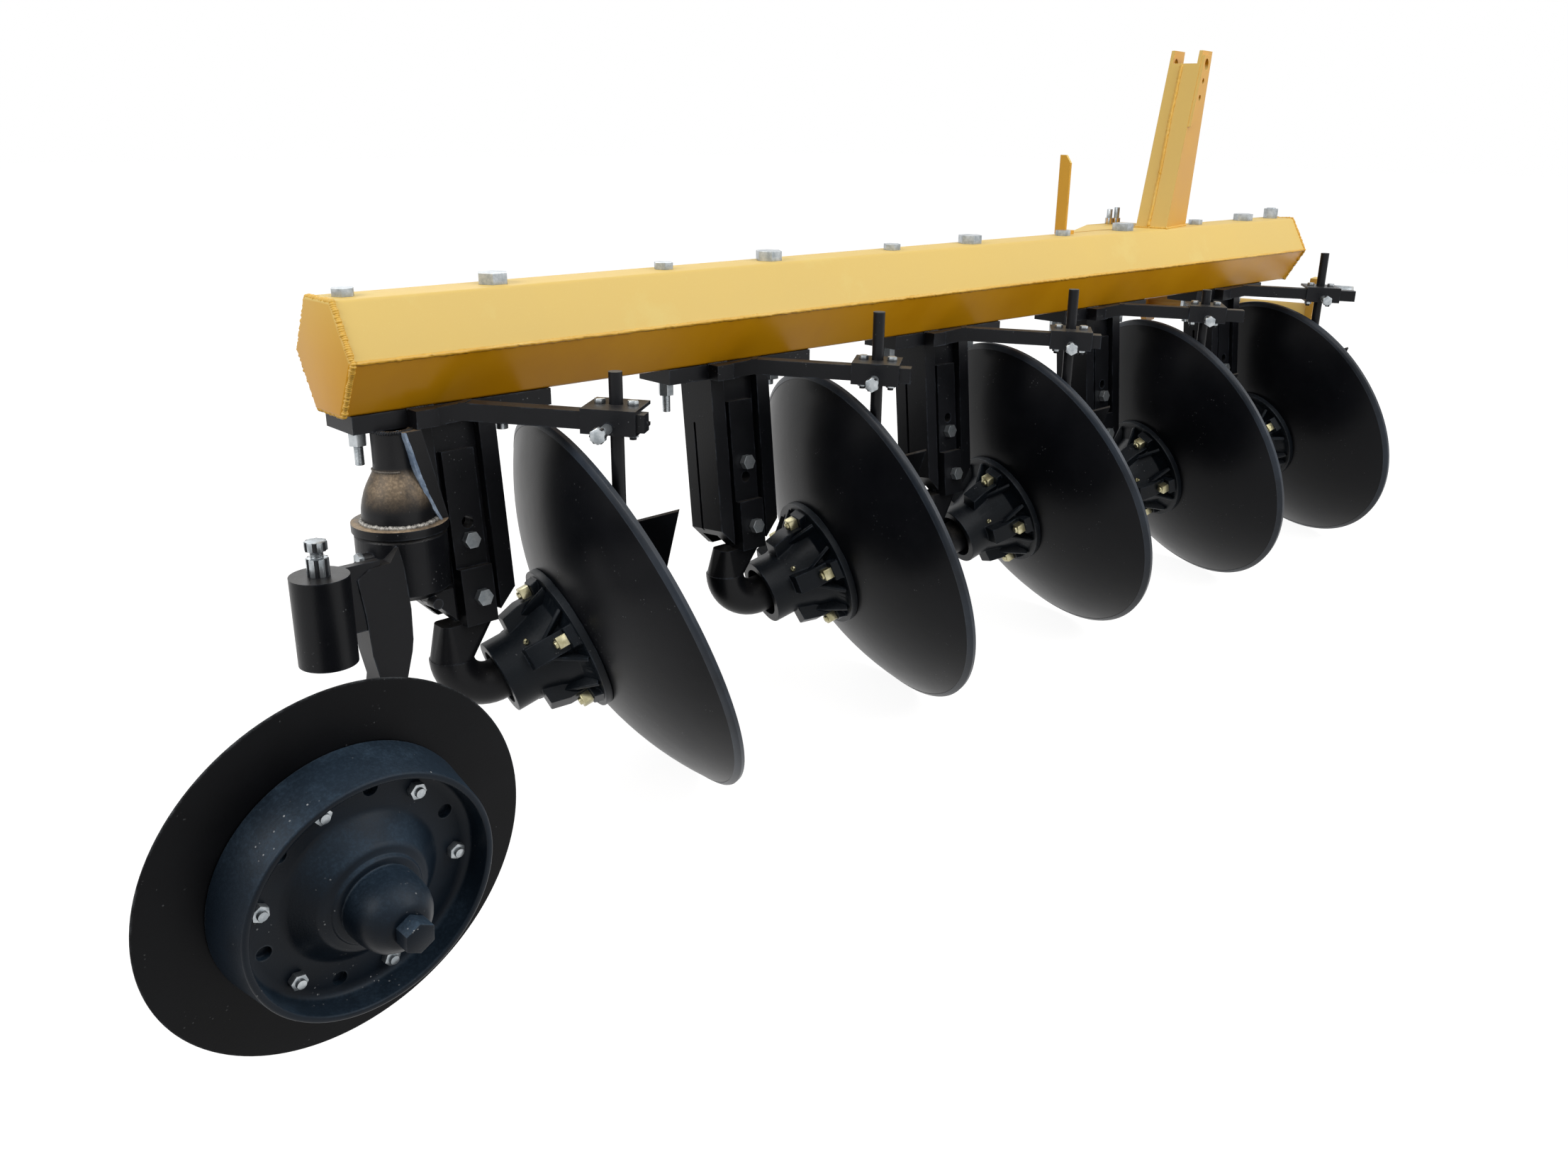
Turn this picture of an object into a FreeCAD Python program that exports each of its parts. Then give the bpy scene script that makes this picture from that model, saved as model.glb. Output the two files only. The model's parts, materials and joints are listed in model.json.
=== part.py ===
import FreeCAD, Part
import math
import os
from FreeCAD import Vector, Rotation, Placement

# Five-disc mounted disc plough, right-hand, in millimetres.
# X runs along the main beam from its rear end to its front end, Y points to the land and
# tractor side, Z is up. The sizes below are read in the beam frame, whose zero is the
# beam's rear end at mid height; at the end all is carried to the right lower hitch pin.

# Main beam: hollow six-sided section, flat top and bottom, a ridge along each side
beam_length = 2631.0
beam_half_height = 77.0
beam_half_flat = 38.0
beam_half_width = 82.0
beam_wall = 8.0
end_plate = 8.0

# Repeating units along the beam
disc_count = 5
disc_spacing = 542.0
rear_bolt_x = 38.0
front_bolt_x = 267.0
rear_bolt_r = 9.0
front_bolt_r = 13.0
rear_bolt_tail = 52.0
front_bolt_tail = 34.0
beam_nut_height = 24.0
bolt_clearance = 0.8

# Leg: top plate clamped under the beam and a folded column that leans to the rear side
plate_thick = 25.0
plate_start = 14.0
plate_end = 330.0
plate_half_width = 40.0
leg_x = 170.0
leg_width = 130.0
leg_front = -34.0
leg_back = 46.0
leg_rib = 28.0
leg_recess = 16.0
leg_wall = 12.0
leg_length = 300.0
leg_chamfer = 34.0
leg_lean = 6.0
slot_width = 5.0
slot_length = 190.0

# Gooseneck spindle: flat tang in the leg, round elbow, journal in the hub
tang_width = 52.0
neck_wide = 88.0
neck_deep = 40.0
neck_x = 158.0
tang_thin = 12.0
tang_thick = 24.0
tang_top = -150.0
tang_step = -322.0
tang_bottom = -408.0
neck_top = -404.0
neck_r = 33.0
elbow_r = 52.0
journal_r = 27.0
spindle_gap = 0.05
tang_bolt_r = 9.0
tang_bolt_x = 173.0

# Where the hub's axis leaves its rear collar, and the elbow's corner behind it
collar_x = 200.0
collar_y = -58.0
collar_z = -505.0
collar_to_rim = 221.0
elbow_back = 76.0

# Hub casting
collar_r = 59.0
collar_bore_r = 44.0
collar_bore_depth = 26.0
hub_flange_r = 120.0
hub_flange_thick = 13.0
hub_rib_count = 5
hub_rib_thick = 34.0
hub_bolt_circle = 98.0
hub_nut_side = 18.5
journal_length = 72.0

# Concave disc: 660 mm across, spherical dish
disc_r = 330.0
disc_depth = 104.0
disc_thick = 7.0

# Scraper: arm bar welded to the leg's plate, folded clamp, round rod and blade
arm_half = 12.5
arm_start_x = 95.0
arm_line_y = -52.8
arm_bend_x = 135.0
arm_crank_x = 160.0
arm_crank_y = -84.0
arm_low_z = -89.0
arm_high_z = -80.0
arm_end_z = -86.0
arm_end_x = 318.0
arm_end_y = -289.0
clamp_from_end = 48.0
clamp_length = 78.0
clamp_depth = 76.0
clamp_wall = 5.0
clamp_bolt_r = 5.0
clamp_bolt_apart = 47.0
clamp_bolt_flats = 14.0
set_bolt_r = 7.0
set_bolt_length = 48.0
set_bolt_flats = 20.0
rod_r = 9.75
rod_back = 45.0
rod_top = -20.0
rod_bottom = -330.0
blade_thick = 6.0

# Per disc: heading and rise of the hub's axis in degrees, height of the spindle's setting,
# and the hole of the leg that its upper bolt uses (0 is the lower hole, 1 the upper)
SETTINGS = [
    # (heading, rise, lift, upper hole, clamp slide, rod lift, turn of the hub)
    (-12.8, 20.7, 0.0, 0, 2.0, -2.5, 8.0),
    (-15.4, 18.9, 8.0, 1, 10.0, 31.0, 22.0),
    (-13.5, 21.6, 0.0, 0, 8.0, 26.5, 36.5),
    (-16.8, 20.4, 0.0, 0, 29.0, -16.0, 43.5),
    (-16.3, 21.0, -4.0, 0, 27.0, 31.5, 3.0),
]

# Rear furrow wheel: welded bell, swivel, arm, spring, axle, drum and cutting flange
swivel_x = 74.0
swivel_y = -31.0
ring_top = -233.0
ring_r = 67.0
ring_thick = 12.0
bell_r = 51.0
bell_neck_r = 29.0
bell_flare = -160.0
gusset_thick = 18.0
head_r = 64.0
head_room = 6.0
head_height = 84.0
stem_r = 21.0
arm_front = -92.0
arm_thick = 44.0
spring_x = -97.0
spring_y = -140.0
spring_box_r = 38.0
spring_box_top = -249.0
spring_box_bottom = -369.0
spring_r = 24.0
spring_wire_r = 6.0
spring_seat = -446.0
axle_r = 24.0
wheel_x = -221.0
wheel_y = -411.0
wheel_z = -503.0
wheel_heading = -86.6
wheel_dip = -6.45
wheel_r = 236.0
wheel_disc_thick = 9.0
drum_r = 157.0
drum_base_r = 163.0
drum_lip = 62.0
drum_web = 36.0
drum_web_thick = 12.0
drum_wall = 9.0
stud_circle = 121.0
stud_flats = 19.0
stud_r = 6.0
wheel_hole_r = 9.0
wheel_hole_turn = 28.0
cap_flats = 34.0
cap_nut_height = 22.0
STUD_ANGLES = [-3.0, 54.0, 111.0, 169.0, 227.0, 285.0]
hub_step_r = 76.0
wheel_hub_r = 48.0
wheel_hub_end = 112.0
cap_end = 136.0
wheel_bore_r = 25.0

# Headstock: its heading off the beam, deck beside the beam, leaning mast, cross shaft
# with cranked pins
travel_heading = 13.0
mast_x = 2010.0
mast_y = 0.0
mast_width = 72.0
mast_root_depth = 140.0
mast_top_depth = 72.0
mast_lean = 120.0
mast_height = 361.0
mast_wall = 8.0
ear_height = 25.0
link_pin_r = 12.8
link_below_top = 30.0
ear_notch = 28.0
mouth_height = 130.0
strip_length = 165.0
strip_width = 50.0
strip_inset = 2.0
strip_thick = 7.0
spare_hole_r = 6.5
SPARE_HOLE_DROPS = [66.0, 102.0]
deck_thick = 12.0
cheek_thick = 16.0
cross_x = 2671.0
cross_y = 333.0
cross_z = -183.0
cross_r = 32.0
cross_half = 394.5
crank_offset = 71.0
crank_thick = 18.0
pin_r = 14.3
pin_length = 88.0
linch_r = 5.0
end_stop_x = 2577.0
end_stop_r = 11.0
end_stop_flats = 30.0
end_stop_height = 24.0


def vec(x, y, z):
    return Vector(x, y, z)


def box(x0, x1, y0, y1, z0, z1):
    return Part.makeBox(x1 - x0, y1 - y0, z1 - z0, vec(x0, y0, z0))


def rod(a, b, r):
    """Solid round bar from point a to point b."""
    return Part.makeCylinder(r, (b - a).Length, a, b - a)


def prism(points, direction):
    """Straight extrusion of a closed polygon."""
    return Part.Face(Part.makePolygon(points + [points[0]])).extrude(direction)


def fuse(shapes):
    """One solid out of overlapping pieces."""
    first = shapes[0]
    if len(shapes) > 1:
        first = first.fuse(shapes[1:])
    return first.removeSplitter()


def placed(shape, base, x_dir, y_dir, z_dir):
    """Copy of a shape carried from the world axes to the given axes and point."""
    m = FreeCAD.Matrix(
        x_dir.x, y_dir.x, z_dir.x, base.x,
        x_dir.y, y_dir.y, z_dir.y, base.y,
        x_dir.z, y_dir.z, z_dir.z, base.z,
        0, 0, 0, 1,
    )
    out = shape.copy()
    out.Placement = Placement(m).multiply(out.Placement)
    return out


def hexagon(across_flats, z0, z1, x=0.0, y=0.0, turn=0.0):
    """Hexagonal bar standing on z0."""
    r = across_flats / math.sqrt(3.0)
    corners = []
    for i in range(6):
        a = math.radians(60.0 * i + turn)
        corners.append(vec(x + r * math.cos(a), y + r * math.sin(a), z0))
    return prism(corners, vec(0, 0, z1 - z0))


def heading(azimuth, rise):
    """Unit vector from a compass angle off +X and a rise above the level."""
    a = math.radians(azimuth)
    e = math.radians(rise)
    return vec(math.cos(e) * math.cos(a), math.cos(e) * math.sin(a), math.sin(e))


def axes_of(n):
    """Two axes square to n: the first level, the second the steepest upward one."""
    u = vec(0, 0, 1).cross(n)
    u.normalize()
    return u, n.cross(u)


def revolve(points):
    """Full turn of a closed (radius, height) outline about Z."""
    wire = Part.makePolygon([vec(r, 0, z) for r, z in points] + [vec(points[0][0], 0, points[0][1])])
    return Part.Face(wire).revolve(vec(0, 0, 0), vec(0, 0, 1), 360)


def rounded_rectangle(centre, u, v, width, depth, r):
    """Closed outline of four sides and four arcs, centred in the plane of u and v."""
    hw = width / 2.0
    hd = depth / 2.0
    corners = [(1, 1), (-1, 1), (-1, -1), (1, -1)]
    edges = []
    last = None
    first = None
    for i, (sx, sy) in enumerate(corners):
        cx = sx * (hw - r)
        cy = sy * (hd - r)
        start = i * 90.0
        pts = []
        for a in (start, start + 45.0, start + 90.0):
            t = math.radians(a)
            pts.append(centre + u * (cx + r * math.cos(t)) + v * (cy + r * math.sin(t)))
        if last is not None:
            edges.append(Part.makeLine(last, pts[0]))
        else:
            first = pts[0]
        edges.append(Part.Arc(pts[0], pts[1], pts[2]).toShape())
        last = pts[2]
    edges.append(Part.makeLine(last, first))
    return Part.Wire(edges)


# Unit positions

def unit_x(k):
    return k * disc_spacing


def hub_frame(k):
    """Rim centre of disc k, the way its hollow faces, and the collar's rear end."""
    azimuth, rise, lift = SETTINGS[k][0:3]
    n = heading(azimuth, rise)
    collar = vec(unit_x(k) + collar_x, collar_y, collar_z + lift)
    return collar + n * collar_to_rim, n, collar


# Main beam

def beam_section(x, shrink):
    """Hexagonal outline at x; shrink moves each side inwards."""
    hh = beam_half_height - shrink
    slope = math.atan2(beam_half_height, beam_half_width - beam_half_flat)
    ridge = beam_half_width - shrink / math.sin(slope)
    flat = ridge - hh / math.tan(slope)
    return [vec(x, -flat, hh), vec(x, -ridge, 0), vec(x, -flat, -hh),
            vec(x, flat, -hh), vec(x, ridge, 0), vec(x, flat, hh)]


def make_beam():
    outer = prism(beam_section(0, 0), vec(beam_length, 0, 0))
    inner = prism(beam_section(end_plate, beam_wall), vec(beam_length - 2 * end_plate, 0, 0))
    beam = outer.cut(inner)
    holes = []
    for k in range(disc_count):
        for x, r in ((rear_bolt_x, rear_bolt_r), (front_bolt_x, front_bolt_r)):
            top = vec(unit_x(k) + x, 0, beam_half_height + 10)
            holes.append(rod(top, vec(top.x, 0, -beam_half_height - 10), r + bolt_clearance))
    return beam.cut(holes)


def make_beam_bolts():
    bolts = []
    for k in range(disc_count):
        for x, r, long in ((rear_bolt_x, rear_bolt_r, rear_bolt_tail), (front_bolt_x, front_bolt_r, front_bolt_tail)):
            bx = unit_x(k) + x
            under = -beam_half_height - plate_thick
            top = beam_half_height
            head = hexagon(r * 3.1, top, top + r * 1.25, bx)
            shank = rod(vec(bx, 0, top), vec(bx, 0, under), r)
            tail = rod(vec(bx, 0, under), vec(bx, 0, under - long), r * 0.7)
            nut = hexagon(r * 2.5, under - beam_nut_height, under, bx)
            bolts.append(fuse([shank, tail, head, nut]))
    top = beam_half_height
    stop = rod(vec(end_stop_x, 0, top), vec(end_stop_x, 0, top + end_stop_height + 2.0), end_stop_r)
    bolts.append(fuse([stop, hexagon(end_stop_flats, top, top + end_stop_height, end_stop_x)]))
    return Part.Compound(bolts)


# Legs

def leg_axes():
    """Axes of the leaning column: its foot swings towards the rear side."""
    a = math.radians(leg_lean)
    down = vec(0, -math.sin(a), -math.cos(a))
    back = vec(0, math.cos(a), -math.sin(a))
    return back, down * -1.0


def make_leg(k):
    x0 = unit_x(k)
    top_z = -beam_half_height
    plate = box(x0 + plate_start, x0 + plate_end, -plate_half_width, plate_half_width,
                top_z - plate_thick, top_z)
    back, up = leg_axes()
    half = leg_width / 2.0
    root = 12.0
    column = box(-half, half, leg_front, leg_back, -leg_length, root)
    recess = box(-half + leg_rib, half - leg_rib, leg_front - 1, leg_front + leg_recess, -leg_length - 1, root + 1)
    cavity = box(-half + leg_wall, half - leg_wall, leg_front + leg_recess + leg_wall, leg_back - leg_wall,
                 -leg_length - 1, -leg_wall)
    slot = box(-half - 1, -half + leg_wall + 1, leg_back - leg_wall - slot_width - 14, leg_back - leg_wall - 14,
               -leg_length + 30, -leg_length + 30 + slot_length)
    column = column.cut([recess, cavity, slot])
    for side in (-1, 1):
        corner = [vec(side * half, leg_front - 1, -leg_length - 1),
                  vec(side * (half + 1), leg_front - 1, -leg_length - 1),
                  vec(side * (half + 1), leg_front - 1, -leg_length + leg_chamfer),
                  vec(side * half, leg_front - 1, -leg_length + leg_chamfer),
                  vec(side * (half - leg_chamfer), leg_front - 1, -leg_length - 1)]
        column = column.cut(prism(corner, vec(0, leg_back - leg_front + 2, 0)))
    column = placed(column, vec(x0 + leg_x, 0, top_z - plate_thick), vec(1, 0, 0), back, up)
    under = box(x0 - 50, x0 + 500, -300, 300, top_z - plate_thick, top_z + 200)
    column = column.cut(under)
    leg = fuse([plate, column])
    holes = []
    if k == 0:
        holes.append(swivel_room())
    for x, r in ((rear_bolt_x, rear_bolt_r), (front_bolt_x, front_bolt_r)):
        holes.append(rod(vec(x0 + x, 0, 0), vec(x0 + x, 0, -200), r + bolt_clearance))
    for p in tang_bolt_points(k):
        holes.append(rod(p - back * 80, p + back * 80, tang_bolt_r + 0.5))
    return leg.cut(holes)


def swivel_room():
    """Round cut in the rearmost leg for the furrow wheel's head to turn in."""
    high = vec(swivel_x, swivel_y, ring_top - ring_thick + head_room)
    low = vec(swivel_x, swivel_y, ring_top - ring_thick - head_height - 8 - head_room)
    return rod(low, high, head_r + head_room)


def on_column(k, x, local_y, z):
    """Point of the leg's front region at height z, local_y behind the column's axis."""
    back, up = leg_axes()
    top_z = -beam_half_height - plate_thick
    t = (z - top_z) / up.z
    return vec(unit_x(k) + x, 0, top_z) + up * t + back * local_y


def tang_bolt_points(k):
    """Lower hole, lower upper-hole and higher upper-hole of the leg."""
    y = leg_front + leg_recess
    return [on_column(k, tang_bolt_x, y, -367.0), on_column(k, tang_bolt_x - 2, y, -282.0),
            on_column(k, tang_bolt_x - 1, y, -256.0)]


# Spindles

def make_spindle(k):
    x0 = unit_x(k)
    back, up = leg_axes()
    rim, n, collar = hub_frame(k)
    seat = leg_front + leg_recess - 0.2
    top = on_column(k, leg_x, 0, tang_top)
    step = on_column(k, leg_x, 0, tang_step)
    foot = on_column(k, leg_x, 0, tang_bottom)
    half = tang_width / 2.0
    thin = prism([step + vec(-half, 0, 0) + back * seat, step + vec(half, 0, 0) + back * seat,
                  step + vec(half, 0, 0) + back * (seat - tang_thin),
                  step + vec(-half, 0, 0) + back * (seat - tang_thin)], top - step)
    thick = prism([foot + vec(-half, 0, 0) + back * seat, foot + vec(half, 0, 0) + back * seat,
                   foot + vec(half, 0, 0) + back * (seat - tang_thick),
                   foot + vec(-half, 0, 0) + back * (seat - tang_thick)], step - foot)
    corner = collar - n * elbow_back
    into = vec(0, 0, -1)
    turn = math.acos(max(-1.0, min(1.0, into.dot(n))))
    lead = elbow_r * math.tan(turn / 2.0)
    arc_start = corner - into * lead
    arc_end = corner + n * lead
    inward = n - into * into.dot(n)
    inward.normalize()
    centre = arc_start + inward * elbow_r
    axis = into.cross(inward)
    axis.normalize()
    ring = Part.Face(Part.Wire(Part.makeCircle(neck_r, arc_start, into)))
    elbow = ring.revolve(centre, axis, math.degrees(turn))
    low = rounded_rectangle(arc_start + into * 3.0, vec(1, 0, 0), vec(0, -1, 0), 2 * neck_r - 3, 2 * neck_r - 3,
                            neck_r - 3)
    block = on_column(k, neck_x, -8.0, neck_top)
    high = rounded_rectangle(block, vec(1, 0, 0), vec(0, -1, 0), neck_wide, neck_deep, 12.0)
    neck = Part.makeLoft([high, low], True, True)
    tail = rod(arc_end, collar + n * (collar_bore_depth - 6), neck_r)
    journal = rod(collar, collar + n * (collar_bore_depth + journal_length), journal_r)
    body = fuse([thin, thick, neck, elbow, tail, journal])
    holes = []
    for p in tang_bolt_points(k):
        holes.append(rod(p - back * 80, p + back * 80, tang_bolt_r + 0.5))
    return body.cut(holes)


def make_tang_bolts(k):
    back, up = leg_axes()
    points = tang_bolt_points(k)
    used = [(points[0], tang_thick), (points[1 + SETTINGS[k][3]], tang_thin)]
    bolts = []
    for p, thick in used:
        face = p - back * (thick + 0.4)
        head = placed(hexagon(23.0, 0, 12.0), face, vec(1, 0, 0), up, back * -1.0)
        shank = rod(face, p + back * (leg_wall + 20.0), tang_bolt_r)
        nut = placed(hexagon(24.0, 0, 14.0), p + back * (leg_wall + 0.1), vec(1, 0, 0), up * -1.0, back)
        bolts.append(fuse([head, shank, nut]))
    return bolts


# Hubs and discs, made once about Z with the hollow facing +Z and then carried out

def dish_radius():
    return (disc_r ** 2 + disc_depth ** 2) / (2.0 * disc_depth)


def disc_back_at(r):
    """Height of the disc's convex face below the rim plane, at radius r."""
    rs = dish_radius()
    return disc_depth - (rs - math.sqrt(rs * rs - r * r))


def make_disc_shape():
    """Dished plate: the rim plane is z = 0, the convex face goes down to -disc_depth."""
    rs = dish_radius()
    convex_centre = rs - disc_depth
    inner_r = rs - disc_thick
    rim_in = math.sqrt(inner_r ** 2 - (convex_centre) ** 2)
    def on_arc(radius, r):
        return vec(r, 0, convex_centre - math.sqrt(radius * radius - r * r))
    outer = Part.Arc(on_arc(rs, 0.0), on_arc(rs, disc_r / 2), on_arc(rs, disc_r)).toShape()
    rim_inner = vec(disc_r - 1.2, 0, disc_thick * 0.95)
    span = disc_r - 1.2
    concave_mid_r = span / 2
    inner_sphere = (span ** 2 + (disc_depth - disc_thick + rim_inner.z) ** 2) / (2 * (disc_depth - disc_thick + rim_inner.z))
    def on_inner(r):
        return vec(r, 0, -disc_depth + disc_thick + inner_sphere - math.sqrt(inner_sphere ** 2 - r * r))
    inner = Part.Arc(on_inner(span), on_inner(concave_mid_r), on_inner(0.0)).toShape()
    wire = Part.Wire([outer, Part.makeLine(on_arc(rs, disc_r), on_inner(span)), inner,
                      Part.makeLine(on_inner(0.0), on_arc(rs, 0.0))])
    return Part.Face(wire).revolve(vec(0, 0, 0), vec(0, 0, 1), 360)


def make_hub_shape():
    """Casting along Z: rear collar below, flange above against the disc's convex face."""
    rear = -collar_to_rim
    flange_top = -disc_back_at(hub_flange_r) - 0.4
    flange_low = flange_top - hub_flange_thick
    body = revolve([(0, rear), (collar_r, rear), (collar_r, rear + 42), (68, rear + 72), (84, flange_low - 12),
                    (hub_flange_r - 14, flange_low), (hub_flange_r, flange_low), (hub_flange_r, flange_top),
                    (0, flange_top)])
    extras = []
    half = hub_rib_thick / 2.0
    for i in range(hub_rib_count):
        rib = prism([vec(40, -half, rear + 42), vec(82, -half, rear + 42), vec(90, -half, rear + 72),
                     vec(90, -half, flange_low - 14), vec(108, -half, flange_low - 14), vec(112, -half, flange_low + 3),
                     vec(40, -half, flange_low + 3)], vec(0, hub_rib_thick, 0))
        r = hub_nut_side / 2.0
        nut = box(hub_bolt_circle - r, hub_bolt_circle + r, -r, r, flange_low - 31, flange_low - 13)
        for piece in (rib, nut):
            piece.rotate(vec(0, 0, 0), vec(0, 0, 1), 360.0 / hub_rib_count * i)
            extras.append(piece)
    body = fuse([body] + extras)
    rs = dish_radius()
    ball = Part.makeSphere(rs + 0.4, vec(0, 0, rs - disc_depth))
    bore = rod(vec(0, 0, rear - 1), vec(0, 0, rear + collar_bore_depth), collar_bore_r)
    fit = rod(vec(0, 0, rear), vec(0, 0, rear + collar_bore_depth + journal_length + 3.0), journal_r + spindle_gap)
    return body.cut([ball, bore, fit])


def carry_to_disc(shape, k):
    rim, n, collar = hub_frame(k)
    u, v = axes_of(n)
    turned = shape.copy()
    turned.rotate(vec(0, 0, 0), vec(0, 0, 1), SETTINGS[k][6])
    return placed(turned, rim, u, v, n)


# Scrapers

def arm_points(k):
    x0 = unit_x(k)
    return [vec(x0 + arm_start_x, arm_line_y, arm_low_z), vec(x0 + arm_bend_x, arm_line_y, arm_low_z),
            vec(x0 + arm_crank_x, arm_crank_y, arm_high_z), vec(x0 + arm_end_x, arm_end_y, arm_end_z)]


def bar_between(a, b, half, grow_a, grow_b):
    """Square bar whose sides stay upright."""
    d = b - a
    d.normalize()
    u = d.cross(vec(0, 0, 1))
    u.normalize()
    v = vec(0, 0, 1)
    start = a - d * grow_a
    end = b + d * grow_b
    pts = [start + u * half + v * half, start - u * half + v * half,
           start - u * half - v * half, start + u * half - v * half]
    return prism(pts, end - start)


def clamp_frame(k):
    """Centre of the clamp on the arm, the arm's way and the level way behind it."""
    pts = arm_points(k)
    d = pts[3] - pts[2]
    d.normalize()
    p = vec(0, 0, 1).cross(d)
    p.normalize()
    centre = pts[3] - d * (clamp_from_end + SETTINGS[k][4])
    return centre, d, p


def make_scraper_arm(k):
    """Cranked bar with its folded clamp, the clamp's two bolts and the long set bolt."""
    pts = arm_points(k)
    bars = []
    for i in range(3):
        bars.append(bar_between(pts[i], pts[i + 1], arm_half, 0.0 if i == 0 else 5.0, 0.0 if i == 2 else 5.0))
    c, d, p = clamp_frame(k)
    up = d.cross(p)
    half = clamp_length / 2.0
    front = -arm_half
    face = front - clamp_wall
    outer = arm_half + clamp_wall
    shell = box(-half, half, face, front + clamp_depth, -outer, outer)
    hollow = box(-half - 1, half + 1, front, front + clamp_depth + 1, -arm_half, arm_half)
    rod_y = face + rod_back
    small = [shell.cut(hollow)]
    for side in (-1, 1):
        x = side * clamp_bolt_apart / 2.0
        small.append(rod(vec(x, rod_y, -outer - 14), vec(x, rod_y, outer + 5), clamp_bolt_r))
        small.append(hexagon(clamp_bolt_flats, outer, outer + 6, x, rod_y))
        small.append(hexagon(clamp_bolt_flats, -outer - 10, -outer, x, rod_y))
    z = -8.0
    head = set_bolt_flats / 2.0
    small.append(rod(vec(0, face - set_bolt_length, z), vec(0, face + 3, z), set_bolt_r))
    small.append(placed(hexagon(set_bolt_flats, 0, head), vec(0, face - set_bolt_length + head, z), vec(1, 0, 0),
                        vec(0, 0, 1), vec(0, -1, 0)))
    whole = fuse(bars + [placed(piece, c, d, p, up) for piece in small])
    foot = c + p * rod_y
    return whole.cut(rod(foot + vec(0, 0, -60), foot + vec(0, 0, 60), rod_r + 0.5))


def make_scraper(k):
    """Rod and blade of one scraper."""
    c, d, p = clamp_frame(k)
    rod_y = -arm_half - clamp_wall + rod_back
    foot = c + p * rod_y
    lift = SETTINGS[k][5]
    bar = rod(vec(foot.x, foot.y, rod_top + lift), vec(foot.x, foot.y, rod_bottom), rod_r)
    a = vec(foot.x - 6, foot.y + 4, -246)
    b = vec(foot.x + 50, foot.y - 72, -216)
    e = vec(foot.x + 58, foot.y - 26, -330)
    span = b - a
    side = span.cross(e - a)
    side.normalize()
    low = a + (e - b) * 0.95
    blade = prism([a, b, e, low], side * blade_thick)
    return fuse([bar, blade])


# Rear furrow wheel

def wheel_frame():
    return vec(wheel_x, wheel_y, wheel_z), heading(wheel_heading, wheel_dip)


def make_furrow_bracket():
    """Pipe welded beside the first leg, flared to a round index plate, with its gusset."""
    top = -beam_half_height - plate_thick
    drop = ring_top - top
    flare = bell_flare - top
    bell = revolve([(stem_r + 0.05, 0), (bell_neck_r, 0), (bell_neck_r, flare), (bell_neck_r + 14, flare - 26),
                    (bell_r, flare - 58), (bell_r, drop), (bell_r - 10, drop), (bell_r - 14, flare - 50),
                    (bell_neck_r, flare - 22), (stem_r + 0.05, flare)])
    bell.translate(vec(swivel_x, swivel_y, top))
    ring = revolve([(bell_r - 11, ring_top - ring_thick), (ring_r, ring_top - ring_thick), (ring_r, ring_top),
                    (bell_r - 11, ring_top)])
    ring.translate(vec(swivel_x, swivel_y, 0))
    y = swivel_y - 36.0
    gusset = prism([vec(72, y, top - 0.3), vec(100, y, top - 0.3), vec(132, y, ring_top - 4),
                    vec(118, y, ring_top - 4), vec(98, y, ring_top + 42), vec(88, y, bell_flare)],
                   vec(0, gusset_thick, 0))
    body = fuse([bell, ring, gusset])
    bore = rod(vec(swivel_x, swivel_y, ring_top - 50), vec(swivel_x, swivel_y, top + 1), stem_r + 0.05)
    return body.cut([make_leg(0), arm_keep_out(), bore])


def arm_keep_out():
    """Room kept round the first scraper arm's bar."""
    pts = arm_points(0)
    bars = [bar_between(pts[0], pts[1], arm_half + 0.3, 1.0, 5.0), bar_between(pts[1], pts[2], arm_half + 0.3, 5.0, 5.0)]
    return bars[0].fuse(bars[1])


def arm_shape():
    profile = [(-25, -286), (-6, -274), (24, -272), (38, -252), (44, -282), (49, -345), (48, -390), (45, -408),
               (33, -450), (26, -492), (-16, -492), (-6, -440), (-14, -400), (-18, -340)]
    return prism([vec(x, arm_front, z) for x, z in profile], vec(0, arm_thick, 0))


def make_swivel():
    """Head that turns under the index plate, with the heavy arm down to the axle."""
    top = ring_top - ring_thick - 0.3
    head = revolve([(0, top), (head_r - 4, top), (head_r, top - 6), (head_r, top - head_height),
                    (head_r - 8, top - head_height - 8), (0, top - head_height - 8)])
    stem = rod(vec(0, 0, top - 5), vec(0, 0, -beam_half_height - plate_thick - 8), stem_r)
    head.translate(vec(swivel_x, swivel_y, 0))
    stem.translate(vec(swivel_x, swivel_y, 0))
    arm = arm_shape()
    lugs = []
    for x, y, z, way in ((swivel_x - head_r + 4, swivel_y - 22, -272.0, -1), (swivel_x + 12, swivel_y - head_r + 6, -345.0, 0)):
        side = vec(-1, 0, 0) if way else vec(0, -1, 0)
        lugs.append(rod(vec(x, y, z) - side * 6, vec(x, y, z) + side * 12, 8.0))
    return fuse([head, stem, arm] + lugs)


def make_spring_box():
    """Round box with the adjusting bolt on its cap and a cheek plate to the swivel arm."""
    shell = rod(vec(spring_x, spring_y, spring_box_bottom), vec(spring_x, spring_y, spring_box_top), spring_box_r)
    low = spring_box_bottom + 8
    high = spring_box_top - 16
    cheek = box(spring_x, 10, arm_front + 2, arm_front + 14, low, high).cut(arm_shape())
    side = box(spring_x + 4, spring_x + spring_box_r, spring_y, arm_front + 8, low, high)
    bolt = rod(vec(spring_x, spring_y, spring_box_top - 1), vec(spring_x, spring_y, spring_box_top + 44), 8.0)
    nut = hexagon(25.0, spring_box_top - 1, spring_box_top + 24, spring_x, spring_y)
    head = hexagon(25.0, spring_box_top + 34, spring_box_top + 46, spring_x, spring_y)
    return fuse([shell, cheek, side, bolt, nut, head])


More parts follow.
